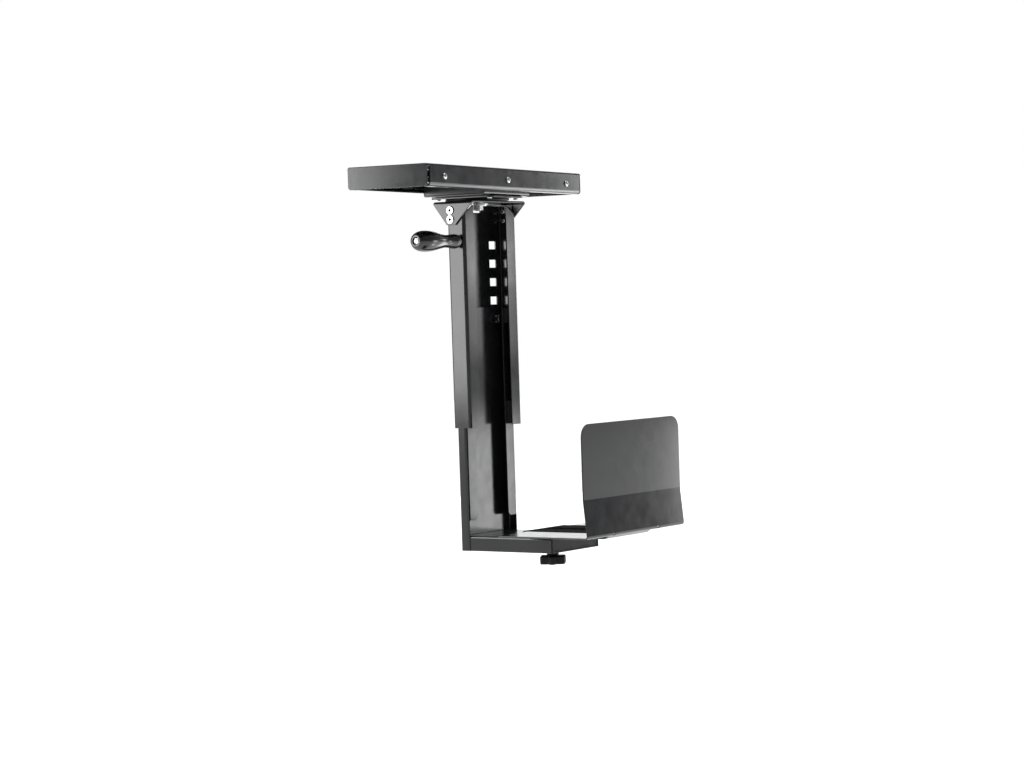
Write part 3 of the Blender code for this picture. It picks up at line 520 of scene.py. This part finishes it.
def make_rubber():
    """Moulded rubber, matt black with a little bloom."""
    made, tree, shader, place = blank("rubber_black_matt")
    bloom = noise(tree, place, 12.0, 3.0)
    tree.links.new(ramp(tree, bloom, [(0.35, colour("#0e0e0e")), (0.75, colour("#1a1a19"))]),
                   shader.inputs["Base Color"])
    skin = noise(tree, place, 0.6, 2.0)
    bump = add_node(tree, "ShaderNodeBump", {"Strength": 0.3, "Distance": 0.0002}, {"Height": skin})
    tree.links.new(bump.outputs["Normal"], shader.inputs["Normal"])
    shader.inputs["Roughness"].default_value = 0.95
    shader.inputs["Specular IOR Level"].default_value = 0.1
    return made


def make_paper():
    """Seamless studio paper, near white."""
    made, tree, shader, place = blank("studio_paper_white")
    tone = noise(tree, place, 400.0, 2.0)
    tree.links.new(ramp(tree, tone, [(0.3, colour("#f7f7f6")), (0.7, colour("#fafaf9"))]),
                   shader.inputs["Base Color"])
    shader.inputs["Roughness"].default_value = 0.9
    return made


POWDER_COAT = make_powder_coat()
ZINC = make_zinc()
OILED_STEEL = make_oiled_steel()
PHENOLIC = make_phenolic()
POLYAMIDE = make_polyamide()
NYLON = make_nylon()
RUBBER = make_rubber()
PAPER = make_paper()


# ---- track -----------------------------------------------------------------------------
def make_track():
    low, high = node_box("track_housing", TRACK_TURN)
    half, near, far, floor = high.x, low.y, high.y, low.z
    lip = half - TRACK_LIP
    corners = [(-lip, floor), (-half, floor), (-half, 0), (half, 0), (half, floor), (lip, floor)]
    shell = sheet_fold("track_shell", corners, [TRACK_ROLL, TRACK_BEND, TRACK_BEND, TRACK_ROLL], "xz",
                       near, far, (0, floor / 2))
    for end, inward, relief in ((near, 1, NEAR_RELIEF), (far, -1, FAR_RELIEF)):
        run = sorted((end - inward * SHEET, end + inward * relief))
        for side in (-1, 1):
            across = sorted((side * (lip - SHEET), side * (half + SHEET)))
            cut(shell, cuboid("relief", (across[0], run[0], floor - SHEET), (across[1], run[1], -2 * SHEET)))
    flange = half - GAP
    corner = 2 * SHEET
    top = half - TRACK_BEND
    outline = [(-top, -SHEET / 2), (-flange, -TRACK_BEND),
               *arc((-flange + corner, floor + corner), corner, 180, 270),
               *arc((flange - corner, floor + corner), corner, 270, 360),
               (flange, -TRACK_BEND), (top, -SHEET / 2)]
    for end, inward in ((near, 1), (far, -1)):
        run = sorted((end, end + inward * SHEET))
        weld(shell, plate("end_flange", outline, "xz", *run))
    middle_y = (near + far) / 2
    for side, hand in ((-1, "left"), (1, "right")):
        for number in (1, 2, 3):
            screw_low, screw_high = node_box(f"side_screw_{hand}_{number}", TRACK_TURN)
            spot = (side * (half - 4 * SHEET), (screw_low.y + screw_high.y) / 2,
                    (screw_low.z + screw_high.z) / 2)
            cut(shell, cylinder("hole", spot, (side, 0, 0), 8 * SHEET, SCREW_SHANK + GAP, 16))
            desk = (side * half / 2, middle_y + (number - 2) * DESK_HOLE_REACH, -2 * SHEET)
            cut(shell, cylinder("hole", desk, (0, 0, 1), 4 * SHEET, DESK_HOLE_RADIUS, 24))
    for end in (near, far):
        round_edges(shell, lambda edge: all(abs(v.co.y - end) < 1e-5 and v.co.z > -1e-5 for v in edge.verts),
                    TRACK_BEND * 0.8, 4)
    dress_turned(ease(shell), "track_housing", POWDER_COAT)


def pan_head_screw(name, head, dome, shank, length):
    """A pan head with a cross recess. The head's seat is at 0 and the shank runs down -Z."""
    profile = [(shank * 0.6, -length), (shank, -length + shank * 0.4), (shank, 0), (head * 0.98, 0),
               (head, dome * 0.18), (head * 0.96, dome * 0.5), (head * 0.82, dome * 0.8),
               (head * 0.55, dome * 0.95), (head * 0.25, dome)]
    screw = turned(name, profile, (0, 0, 0), (0, 0, 1), 28)
    blade, reach = head * 0.13, head * 0.52
    for across in (Vector((blade, reach, 0)), Vector((reach, blade, 0))):
        sole = Vector((0, 0, dome * 0.25))
        cut(screw, cuboid("recess", sole - across, Vector((0, 0, dome * 2)) + across))
    select_only(screw)
    bpy.ops.object.shade_smooth_by_angle(angle=math.radians(35))
    return screw


def make_side_screws():
    half = node_box("track_housing", TRACK_TURN)[1].x
    low, high = node_box("side_screw_right_1", TRACK_TURN)
    head = (high.z - low.z) / 2
    seat = half + GAP
    model = pan_head_screw("side_screw_model", head, high.x - seat, SCREW_SHANK, seat - low.x)
    for side, hand in ((-1, "left"), (1, "right")):
        for number in (1, 2, 3):
            low, high = node_box(f"side_screw_{hand}_{number}", TRACK_TURN)
            spot = Vector((side * seat, (low.y + high.y) / 2, (low.z + high.z) / 2))
            driven = Matrix.Rotation(0.7 + 0.9 * number, 4, "Z")
            move = Matrix.Translation(spot) @ along((side, 0, 0)).to_matrix().to_4x4() @ driven
            screw = copy_of(model, f"track_screw_{hand}_{number}", move)
            dress_turned(screw, f"side_screw_{hand}_{number}", ZINC)
    bpy.data.objects.remove(model, do_unlink=True)


def make_carriage():
    low, high = node_box("carriage", TRACK_TURN)
    half = high.x
    corners = [(-half, high.z), (-half, low.z), (half, low.z), (half, high.z)]
    tray = sheet_fold("carriage_tray", corners, [BEND, BEND], "xz", low.y, high.y, (0, high.z))
    inside = half - SHEET / 2
    for end, inward in ((low.y, 1), (high.y, -1)):
        run = sorted((end + inward * GAP / 2, end + inward * SHEET))
        weld(tray, cuboid("end_wall", (-inside, run[0], low.z + SHEET / 2), (inside, run[1], high.z - SHEET)))
    cut(tray, cylinder("hole", (0, 0, low.z - SHEET), (0, 0, 1), 4 * SHEET, PIVOT_RADIUS + GAP))
    for number in (1, 2, 3, 4):
        screw_low, screw_high = node_box(f"swivel_screw_{number}", TRACK_TURN)
        spot = ((screw_low.x + screw_high.x) / 2, (screw_low.y + screw_high.y) / 2, low.z - SHEET)
        cut(tray, cylinder("hole", spot, (0, 0, 1), 4 * SHEET, SWIVEL_SHANK + GAP, 16))
    dress_turned(ease(tray), "carriage", POWDER_COAT)


def make_swivel_plate():
    low, high = node_box("swivel_plate", TRACK_TURN)
    inner = high.x - PLATE_CORNER
    corners = ((-inner, -inner, 180), (inner, -inner, 270), (inner, inner, 0), (-inner, inner, 90))
    outline = [point for x, y, turn in corners for point in arc((x, y), PLATE_CORNER, turn, turn + 90)]
    disc = plate("pivot_plate", outline, "xy", low.z, high.z)
    cut(disc, cylinder("hole", (0, 0, low.z - SHEET), (0, 0, 1), 4 * SHEET, PIVOT_RADIUS + GAP))
    box = node_box("swivel_screw_1", TRACK_TURN)
    seat = low.z - GAP
    model = pan_head_screw("swivel_screw_model", (box[1].x - box[0].x) / 2, seat - box[0].z, SWIVEL_SHANK,
                           box[1].z - seat)
    for number in (1, 2, 3, 4):
        screw_low, screw_high = node_box(f"swivel_screw_{number}", TRACK_TURN)
        spot = Vector(((screw_low.x + screw_high.x) / 2, (screw_low.y + screw_high.y) / 2, seat))
        below = spot - Vector((0, 0, SHEET))
        cut(disc, cylinder("hole", below, (0, 0, 1), 4 * SHEET, SWIVEL_SHANK + GAP, 16))
        move = Matrix.Translation(spot) @ Matrix.Rotation(math.pi, 4, "X") @ Matrix.Rotation(number, 4, "Z")
        dress_turned(copy_of(model, f"pivot_plate_screw_{number}", move), f"swivel_screw_{number}", ZINC)
    bpy.data.objects.remove(model, do_unlink=True)
    dress_turned(ease(disc), "swivel_plate", POWDER_COAT)


# ---- pivot and yoke --------------------------------------------------------------------
def make_pivot():
    low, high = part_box("hub_disc")
    radius, height = high.x, high.z - low.z
    bore = PIVOT_RADIUS + GAP
    profile = [(bore, 0), (radius * 0.93, 0), (radius * 0.94, height * 0.18), (radius * 0.985, height * 0.18),
               (radius, height * 0.35), (radius, height * 0.85), (radius * 0.985, height), (bore, height),
               (bore, 0)]
    disc = turned("bearing_disc", profile, (0, 0, low.z), (0, 0, 1), 96)
    bpy.ops.object.shade_smooth_by_angle(angle=math.radians(30))
    dress(disc, "hub_disc", POLYAMIDE)
    low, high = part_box("pivot_washer")
    radius, height = high.x, high.z - low.z
    ease_in = height * 0.25
    profile = [(bore, 0), (radius - ease_in, 0), (radius, ease_in), (radius, height - ease_in),
               (radius - ease_in, height), (bore, height), (bore, 0)]
    washer = turned("pivot_ring", profile, (0, 0, low.z), (0, 0, 1), 48)
    bpy.ops.object.shade_smooth_by_angle(angle=math.radians(30))
    dress(washer, "pivot_washer", ZINC)
    low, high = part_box("pivot_nut")
    nut = cylinder("pivot_hex_nut", (0, 0, low.z), (0, 0, 1), high.z - low.z, high.y, 6)
    cut(nut, cylinder("bore", (0, 0, low.z - SHEET), (0, 0, 1), 0.02, bore, 32))
    dress(ease(nut, NUT_EDGE), "pivot_nut", ZINC)


def make_yoke():
    low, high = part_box("yoke")
    under = high.z - YOKE_SHEET
    wide = high.y
    corners = [(-wide, low.z), (-wide, high.z), (wide, high.z), (wide, low.z)]
    yoke = sheet_fold("yoke_bracket", corners, [BEND, BEND], "yz", low.x, high.x, (0, low.z), YOKE_SHEET)
    column_low, column_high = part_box("upper_column")
    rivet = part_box("rivet_1")
    rivet_x = (rivet[0].x + rivet[1].x) / 2
    ear_middle = rivet_x + EAR_SHIFT
    shoulder = under - SHEET / 2
    past = low.z - SHEET
    for edge, direction in ((low.x, -1), (high.x, 1)):
        foot = ear_middle + direction * EAR_HALF
        beyond = edge + direction * SHEET
        outline = [(beyond, shoulder), (edge, shoulder), (foot, low.z), (foot, past), (beyond, past)]
        cut(yoke, plate("ear_cut", outline, "xz", -wide - SHEET, wide + SHEET))
    cut(yoke, cylinder("bore", (0, 0, under - SHEET), (0, 0, 1), 3 * SHEET, PIVOT_RADIUS + GAP))
    for number in (1, 2, 3, 4):
        rivet_low, rivet_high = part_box(f"rivet_{number}")
        side = 1 if rivet_low.y > 0 else -1
        spot = (rivet_x, side * (column_high.y - 4 * SHEET), (rivet_low.z + rivet_high.z) / 2)
        cut(yoke, cylinder("hole", spot, (0, side, 0), 8 * SHEET, RIVET_SHANK + GAP, 24))
    dress(ease(yoke), "yoke", POWDER_COAT)


def make_rivets():
    """Hollow rivets: a rolled rim outside, a spread tail inside."""
    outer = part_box("yoke")[1].y + GAP
    low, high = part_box("rivet_4")
    head, rim, tail = (high.x - low.x) / 2, high.y - outer, low.y - outer
    bore = RIVET_BORE * 0.95
    profile = [(bore, rim * 0.9), (bore * 1.15, rim), (head * 0.88, rim), (head * 0.97, rim * 0.85),
               (head, rim * 0.5), (head, 0), (RIVET_SHANK, 0), (RIVET_SHANK, tail + TIP_EASE),
               (RIVET_SHANK + 0.0006, tail + 0.0006), (RIVET_SHANK * 0.9, tail), (bore, tail),
               (bore, rim * 0.9)]
    model = turned("rivet_model", profile, (0, 0, 0), (0, 0, 1), 40)
    bpy.ops.object.shade_smooth_by_angle(angle=math.radians(45))
    for number in (1, 2, 3, 4):
        low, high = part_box(f"rivet_{number}")
        side = 1 if low.y > 0 else -1
        spot = Vector(((low.x + high.x) / 2, side * outer, (low.z + high.z) / 2))
        move = Matrix.Translation(spot) @ along((0, side, 0)).to_matrix().to_4x4()
        dress(copy_of(model, f"yoke_rivet_{number}", move), f"rivet_{number}", ZINC)
    bpy.data.objects.remove(model, do_unlink=True)


# ---- columns ---------------------------------------------------------------------------
def make_upper_column():
    low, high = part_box("upper_column")
    half = high.y
    lip = half - COLUMN_LIP
    corners = [(high.x, -lip), (high.x, -half), (low.x, -half), (low.x, half), (high.x, half), (high.x, lip)]
    column = sheet_fold("column_outer", corners, [BEND] * 4, "xy", low.z, high.z, (high.x, 0))
    above = high.z + SHEET
    front = (high.x - BEND, high.x + SHEET)
    for side in (-1, 1):
        outline = [(side * lip, above), (side * lip, high.z), (side * half, high.z - COLUMN_CORNER_CUT),
                   (side * (half + SHEET), high.z - COLUMN_CORNER_CUT), (side * (half + SHEET), above)]
        cut(column, plate("lip_cut", outline, "yz", *front))
    web = (low.x - SHEET, low.x + 2 * SHEET)
    cut(column, cuboid("notch", (web[0], -NOTCH_HALF, high.z - NOTCH_DEPTH), (web[1], NOTCH_HALF, above)))
    row = half - HOLE_INSET
    for side in (-1, 1):
        for number in range(HOLE_COUNT):
            height = HOLE_FIRST - number * HOLE_PITCH
            cut(column, cuboid("height_hole", (web[0], side * row - HOLE_WIDTH / 2, height - HOLE_HEIGHT / 2),
                               (web[1], side * row + HOLE_WIDTH / 2, height + HOLE_HEIGHT / 2)))
    for number in (1, 2, 3, 4):
        rivet_low, rivet_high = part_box(f"rivet_{number}")
        side = 1 if rivet_low.y > 0 else -1
        spot = ((rivet_low.x + rivet_high.x) / 2, side * (half - 4 * SHEET), (rivet_low.z + rivet_high.z) / 2)
        cut(column, cylinder("hole", spot, (0, side, 0), 8 * SHEET, RIVET_SHANK + GAP, 24))
    pin_low, pin_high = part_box("handle_pin")
    spot = ((pin_low.x + pin_high.x) / 2, -half + 2 * SHEET, (pin_low.z + pin_high.z) / 2)
    cut(column, cylinder("hole", spot, (0, -1, 0), 4 * SHEET, HANDLE_PIN + GAP, 24))
    dress(ease(column), "upper_column", POWDER_COAT)


def make_lower_column():
    low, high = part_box("lower_column")
    half = high.y
    lip = half - INNER_LIP
    corners = [(high.x, -lip), (high.x, -half), (low.x, -half), (low.x, half), (high.x, half), (high.x, lip)]
    column = sheet_fold("column_inner", corners, [BEND] * 4, "xy", low.z, high.z, (high.x, 0))
    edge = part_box("shelf_arm")[1].y + GAP * 0.8
    corner = 3 * SHEET
    top = low.z + LIP_STOP
    outline = [(-edge, low.z - SHEET), (edge, low.z - SHEET), (edge, top), (lip + corner, top),
               *arc((lip + corner, top + corner), corner, 270, 180),
               *arc((-lip - corner, top + corner), corner, 0, -90), (-edge, top)]
    cut(column, plate("lip_opening", outline, "yz", high.x - BEND, high.x + SHEET))
    for hand in ("left", "right"):
        pin_low, pin_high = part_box(f"lock_pin_{hand}")
        spot = (low.x - SHEET, (pin_low.y + pin_high.y) / 2, (pin_low.z + pin_high.z) / 2)
        cut(column, cylinder("hole", spot, (1, 0, 0), 4 * SHEET, LOCK_RADIUS + GAP, 32))
    dress(ease(column), "lower_column", POWDER_COAT)


def make_lock_pins():
    low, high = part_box("lock_pin_left")
    head = (high.z - low.z) / 2
    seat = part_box("lower_column")[0].x + SHEET + LOCK_TRAVEL + GAP
    for hand in ("left", "right"):
        low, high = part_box(f"lock_pin_{hand}")
        spot = (0, (low.y + high.y) / 2, (low.z + high.z) / 2)
        profile = [(LOCK_RADIUS * 0.7, low.x), (LOCK_RADIUS, low.x + TIP_EASE), (LOCK_RADIUS, seat),
                   (head * 0.97, seat), (head, seat + 0.0003), (head, high.x - 0.0010),
                   (head * 0.92, high.x - 0.0003), (head * 0.8, high.x)]
        pin = turned(f"lock_plunger_{hand}", profile, spot, (0, 0, 1), 40)
        pin.data.transform(Matrix.Translation(spot) @ Matrix.Rotation(math.pi / 2, 4, "Y")
                           @ Matrix.Translation(-Vector(spot)))
        bpy.ops.object.shade_smooth_by_angle(angle=math.radians(35))
        dress(pin, f"lock_pin_{hand}", OILED_STEEL)


# ---- handle ----------------------------------------------------------------------------
def make_handle():
    low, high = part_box("handle_grip")
    radius, length = (high.x - low.x) / 2, high.y - low.y
    spot = Vector(((low.x + high.x) / 2, high.y, (low.z + high.z) / 2))
    outline = [(0.50, 1.000), (0.68, 0.985), (0.84, 0.945), (0.95, 0.885), (1.00, 0.800), (0.985, 0.700),
               (0.90, 0.580), (0.76, 0.460), (0.64, 0.360), (0.595, 0.285), (0.61, 0.210), (0.66, 0.130),
               (0.695, 0.070), (0.66, 0.020)]
    floor, chamfer = length - RECESS_DEPTH, 0.0006
    profile = [(GRIP_BORE, floor), (RECESS_RADIUS, floor), (RECESS_RADIUS, length - chamfer),
               (RECESS_RADIUS + chamfer, length)]
    profile += [(radius * wide, length * height) for wide, height in outline]
    profile += [(radius * 0.60, 0), (GRIP_BORE, 0), (GRIP_BORE, floor)]
    grip = turned("pull_grip", profile, spot, (0, -1, 0), 32)
    surface = grip.modifiers.new("surface", "SUBSURF")
    surface.levels = 2
    surface.render_levels = 2
    select_only(grip)
    bpy.ops.object.modifier_apply(modifier="surface")
    bpy.ops.object.shade_smooth_by_angle(angle=math.radians(40))
    dress(grip, "handle_grip", PHENOLIC)
    low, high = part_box("handle_boss")
    radius, length = (high.x - low.x) / 2, high.y - low.y
    bore = HANDLE_PIN + GAP
    profile = [(bore, 0), (radius - FINE_EDGE, 0), (radius, FINE_EDGE), (radius, length - FINE_EDGE),
               (radius - FINE_EDGE, length), (bore, length), (bore, 0)]
    boss = turned("grip_collar", profile, (spot.x, high.y, spot.z), (0, -1, 0), 48)
    bpy.ops.object.shade_smooth_by_angle(angle=math.radians(35))
    dress(boss, "handle_boss", POLYAMIDE)
    low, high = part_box("handle_pin")
    head = (high.x - low.x) / 2
    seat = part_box("handle_grip")[0].y + RECESS_DEPTH - GAP
    rise = seat - low.y
    profile = [(HANDLE_PIN * 0.8, seat - high.y), (HANDLE_PIN, seat - high.y + 0.0006), (HANDLE_PIN, 0),
               (head, 0), (head, rise * 0.55), (head * 0.9, rise * 0.82), (head * 0.6, rise)]
    pin = turned("grip_screw", profile, (spot.x, seat, spot.z), (0, -1, 0), 40)
    slot = PIN_SLOT / 2
    slanted = cuboid("slot", (-slot, low.y - SHEET, -2 * head), (slot, low.y + rise * 0.5, 2 * head))
    slanted.data.transform(Matrix.Translation((spot.x, 0, spot.z)) @ Matrix.Rotation(0.35, 4, "Y"))
    cut(pin, slanted)
    bpy.ops.object.shade_smooth_by_angle(angle=math.radians(35))
    dress(pin, "handle_pin", ZINC)


# ---- shelf arm -------------------------------------------------------------------------
def make_arm():
    low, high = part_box("shelf_arm")
    half = high.y
    corners = [(-half, low.z), (-half, high.z), (half, high.z), (half, low.z)]
    arm = sheet_fold("shelf_channel", corners, [ARM_BEND, ARM_BEND], "yz", low.x, high.x, (0, low.z))
    bolt_low, bolt_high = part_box("clamp_bolt")
    clamp_x = (bolt_low.x + bolt_high.x) / 2
    cut(arm, cylinder("hole", (clamp_x, 0, high.z - 2 * SHEET), (0, 0, 1), 4 * SHEET, CLAMP_HOLE))
    dress(ease(arm), "shelf_arm", POWDER_COAT)
    cap_low, cap_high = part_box("arm_end_cap")
    face = high.x + GAP
    cap = cuboid("arm_cap", (face, -half, cap_low.z), (cap_high.x, half, cap_high.z))
    cut(cap, cuboid("panel", (cap_high.x - CAP_SINK, -half + CAP_RIM, cap_low.z + CAP_RIM),
                    (cap_high.x + SHEET, half - CAP_RIM, cap_high.z - CAP_RIM)))
    inside = half - SHEET - GAP
    weld(cap, cuboid("plug", (cap_low.x, -inside + SHEET, cap_low.z + SHEET),
                     (face + CAP_SINK, inside - SHEET, cap_high.z - SHEET - GAP)))
    dress(ease(cap, PLASTIC_EDGE), "arm_end_cap", POLYAMIDE)


# ---- side panel and mat ----------------------------------------------------------------
def slot_outline(radius, start):
    """The slot that lets the panel slide past the clamp's bolt."""
    return [*arc((start, 0), radius, 270, 90, 12), *arc((start + PANEL_TRAVEL, 0), radius, 90, -90, 12)]


def make_side_panel():
    low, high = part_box("side_panel")
    bottom, half, top = high.x, high.y, high.z
    flat = bottom - PANEL_FLARE
    arm_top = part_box("shelf_arm")[1].z
    under = arm_top + FOOT_RISE
    fold = under + FOLD_RISE
    corners = [(FOOT_BACK, under), (bottom, under), (flat, fold), (flat, top)]
    panel = sheet_fold("panel_and_foot", corners, [BEND, 4 * BEND], "xz", -half, half, (FOOT_BACK, top))
    through = (flat - 3 * SHEET, flat + SHEET)
    for side in (-1, 1):
        centre = (side * (half - PANEL_CORNER), top - PANEL_CORNER)
        past = side * (half + SHEET)
        outline = [*arc(centre, PANEL_CORNER, 90, 0 if side > 0 else 180, 12), (past, centre[1]),
                   (past, top + SHEET), (centre[0], top + SHEET)]
        cut(panel, plate("corner", outline, "yz", *through))
        notch = (bottom - 3 * SHEET, side * (TONGUE_HALF + RELIEF_RADIUS), under + RELIEF_RADIUS)
        cut(panel, cylinder("relief", notch, (1, 0, 0), 6 * SHEET, RELIEF_RADIUS, 24))
    opening = TONGUE_HALF + 2 * GAP
    ramp_end = flat - PANEL_FLARE
    cut(panel, cuboid("opening", (FOOT_BACK - SHEET, -opening, under - SHEET),
                      (ramp_end, opening, under + 2 * SHEET)))
    tongue_under = arm_top + GAP
    inset = (SHEET - TONGUE_SHEET) / 2
    path = [(low.x, tongue_under), (ramp_end - TONGUE_RAMP, tongue_under), (ramp_end, under + inset),
            (ramp_end + BEND, under + inset)]
    tongue = sheet_fold("tongue", path, [2 * BEND, 2 * BEND], "xz", -TONGUE_HALF, TONGUE_HALF,
                        (ramp_end - TONGUE_RAMP, top), TONGUE_SHEET)
    bolt_low, bolt_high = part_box("clamp_bolt")
    clamp_x = (bolt_low.x + bolt_high.x) / 2
    cut(tongue, plate("slot", slot_outline(CLAMP_HOLE, clamp_x), "xy", tongue_under - SHEET,
                      tongue_under + 2 * SHEET))
    weld(panel, tongue)
    dress(ease(panel, PANEL_EDGE, limit=40.0), "side_panel", POWDER_COAT)


def make_mat():
    """A moulded strip with ribs along the foot."""
    low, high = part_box("foot_mat")
    half = high.y
    count = int(2 * half / RIB_PITCH)
    pitch = 2 * half / count
    outline = [(-half, low.z), (half, low.z)]
    for number in range(count):
        edge = half - number * pitch
        outline += [(edge - pitch * 0.10, high.z), (edge - pitch * 0.55, high.z),
                    (edge - pitch * 0.65, high.z - RIB_DEPTH), (edge - pitch, high.z - RIB_DEPTH)]
    mat = plate("ribbed_mat", outline, "yz", low.x, high.x)
    bolt_low, bolt_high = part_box("clamp_bolt")
    clamp_x = (bolt_low.x + bolt_high.x) / 2
    head = (bolt_high.x - bolt_low.x) / 2
    cut(mat, plate("slot", slot_outline(head + 2 * GAP, clamp_x), "xy", low.z - SHEET, high.z + SHEET))
    dress(ease(mat, PLASTIC_EDGE), "foot_mat", RUBBER)


# ---- clamp -----------------------------------------------------------------------------
def make_clamp():
    low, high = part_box("clamp_bolt")
    spot = Vector(((low.x + high.x) / 2, 0, 0))
    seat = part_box("side_panel")[0].z + TONGUE_SHEET + GAP
    head, rise = (high.x - low.x) / 2, high.z - seat
    profile = [(CLAMP_SHANK * 0.7, low.z), (CLAMP_SHANK, low.z + TIP_EASE), (CLAMP_SHANK, seat),
               (head * 0.98, seat), (head, seat + rise * 0.12), (head * 0.93, seat + rise * 0.45),
               (head * 0.75, seat + rise * 0.75),
               (head * 0.5, seat + rise * 0.92), (head * 0.2, seat + rise)]
    bolt = turned("clamp_screw", profile, spot, (0, 0, 1), 40)
    bpy.ops.object.shade_smooth_by_angle(angle=math.radians(35))
    dress(bolt, "clamp_bolt", ZINC)
    low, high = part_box("clamp_washer")
    radius, height = (high.x - low.x) / 2, high.z - low.z
    profile = [(CLAMP_HOLE, 0), (radius - FINE_EDGE, 0), (radius, FINE_EDGE), (radius, height - FINE_EDGE),
               (radius - FINE_EDGE, height), (CLAMP_HOLE, height), (CLAMP_HOLE, 0)]
    washer = turned("clamp_ring", profile, (spot.x, 0, low.z), (0, 0, 1), 48)
    bpy.ops.object.shade_smooth_by_angle(angle=math.radians(35))
    dress(washer, "clamp_washer", ZINC)
    low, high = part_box("clamp_knob")
    head_low, head_top = low.z, low.z + KNOB_HEAD
    steps = KNOB_LOBES * 12
    outline = []
    for turn in (2 * math.pi * step / steps for step in range(steps)):
        radius = KNOB_RADIUS + KNOB_LOBE * math.cos(KNOB_LOBES * turn)
        outline.append((spot.x + radius * math.cos(turn), radius * math.sin(turn)))
    knob = plate("star_knob", outline, "xy", head_low, head_top)
    for level, width in ((head_low, 0.0018), (head_top, 0.0022)):
        round_edges(knob, lambda edge: all(abs(v.co.z - level) < 1e-5 for v in edge.verts), width, 4)
    rise = high.z - head_top + SHEET
    weld(knob, cylinder("neck", (spot.x, 0, head_top - SHEET), (0, 0, 1), rise, KNOB_NECK, 40))
    below = (spot.x, 0, head_low - SHEET)
    cut(knob, cylinder("bore", below, (0, 0, 1), KNOB_BORE, CLAMP_HOLE, 32))
    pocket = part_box("knob_insert")
    depth = pocket[1].z + GAP - head_low + SHEET
    cut(knob, cylinder("pocket", below, (0, 0, 1), depth, (pocket[1].x - pocket[0].x) / 2 + GAP, 32))
    dress(ease(knob, PLASTIC_EDGE, 2, 50.0), "clamp_knob", POLYAMIDE)


def finish_hidden_parts():
    """The parts that stay as the frame has them get their finish."""
    finishes = {"bare_steel": ZINC, "nylon": NYLON, "rubber": RUBBER, "black_steel": POWDER_COAT,
                "black_plastic": POLYAMIDE}
    for name, node in frame["nodes"].items():
        if not node.hide_render:
            node.data.materials.clear()
            node.data.materials.append(finishes[SLOT_OF[name]])


# ---- studio ----------------------------------------------------------------------------
def make_floor():
    clear_selection()
    bpy.ops.mesh.primitive_circle_add(vertices=96, radius=FLOOR_RADIUS, fill_type="NGON",
                                      location=(0, 0, -FLOOR_DROP))
    floor = settle("studio_floor")
    floor.data.materials.append(PAPER)


def softbox(name, place, aim, wide, high, radiance):
    """A soft rectangular light of an even radiance, turned to its aim and hidden from the camera."""
    light = bpy.data.lights.new(name, "AREA")
    light.shape = "RECTANGLE"
    light.size = wide
    light.size_y = high
    light.energy = radiance * math.pi * wide * high
    lamp = bpy.data.objects.new(name, light)
    bpy.context.scene.collection.objects.link(lamp)
    lamp.location = place
    lamp.rotation_mode = "QUATERNION"
    lamp.rotation_quaternion = (Vector(place) - Vector(aim)).to_track_quat("Z", "Y")
    lamp.visible_camera = False


def make_lights():
    softbox("key_left", (-0.585, -0.87, 0.08), (0.0, -0.06, 0.08), 0.66, 0.84, 6.8)
    softbox("right_upper", (0.505, 0.644, -0.090), (0.03, 0.0, -0.090), 0.14, 0.12, 4.8)
    softbox("right_middle", (0.505, 0.644, -0.205), (0.03, 0.0, -0.205), 0.14, 0.11, 2.2)
    softbox("right_lower", (0.490, 0.655, -0.475), (0.02, 0.0, -0.475), 0.13, 0.22, 4.6)
    softbox("back_strip", (0.22, 1.35, -0.25), (0.08, 0.0, -0.25), 0.34, 0.95, 3.8)
    softbox("backdrop", (-2.3, 3.1, 0.3), (0.0, 0.0, -0.2), 3.4, 2.6, 1.3)
    sun = bpy.data.lights.new("overhead", "SUN")
    sun.energy = 3.4
    sun.angle = 1.4
    lamp = bpy.data.objects.new("overhead", sun)
    bpy.context.scene.collection.objects.link(lamp)
    lamp.location = (0, 0, 2)
    world = bpy.data.worlds.new("studio")
    bpy.context.scene.world = world
    world.use_nodes = True
    tree = world.node_tree
    tree.nodes.clear()
    seen = add_node(tree, "ShaderNodeBackground", {"Color": grey(1.0), "Strength": 1.0}).outputs[0]
    cast = add_node(tree, "ShaderNodeBackground", {"Color": colour("#f4f6fa"), "Strength": 0.22}).outputs[0]
    path = add_node(tree, "ShaderNodeLightPath").outputs["Is Camera Ray"]
    mixed = tree.nodes.new("ShaderNodeMixShader")
    tree.links.new(path, mixed.inputs[0])
    tree.links.new(cast, mixed.inputs[1])
    tree.links.new(seen, mixed.inputs[2])
    tree.links.new(mixed.outputs[0], tree.nodes.new("ShaderNodeOutputWorld").inputs["Surface"])
    bpy.context.scene.view_settings.view_transform = "Standard"


def make_camera():
    camera = bpy.data.objects.new("camera", bpy.data.cameras.new("camera"))
    bpy.context.scene.collection.objects.link(camera)
    camera.data.lens = CAMERA_LENS
    camera.data.sensor_width = 36.0
    camera.matrix_world = (Matrix.Translation(CAMERA_PLACE) @ Matrix.Rotation(-CAMERA_HEADING, 4, "Z")
                           @ Matrix.Rotation(math.pi / 2 + CAMERA_PITCH, 4, "X")
                           @ Matrix.Rotation(CAMERA_ROLL, 4, "Z"))
    bpy.context.scene.camera = camera


make_track()
make_side_screws()
make_carriage()
make_swivel_plate()
make_pivot()
make_yoke()
make_rivets()
make_upper_column()
make_lower_column()
make_lock_pins()
make_handle()
make_arm()
make_side_panel()
make_mat()
make_clamp()
finish_hidden_parts()
make_floor()
make_lights()
make_camera()
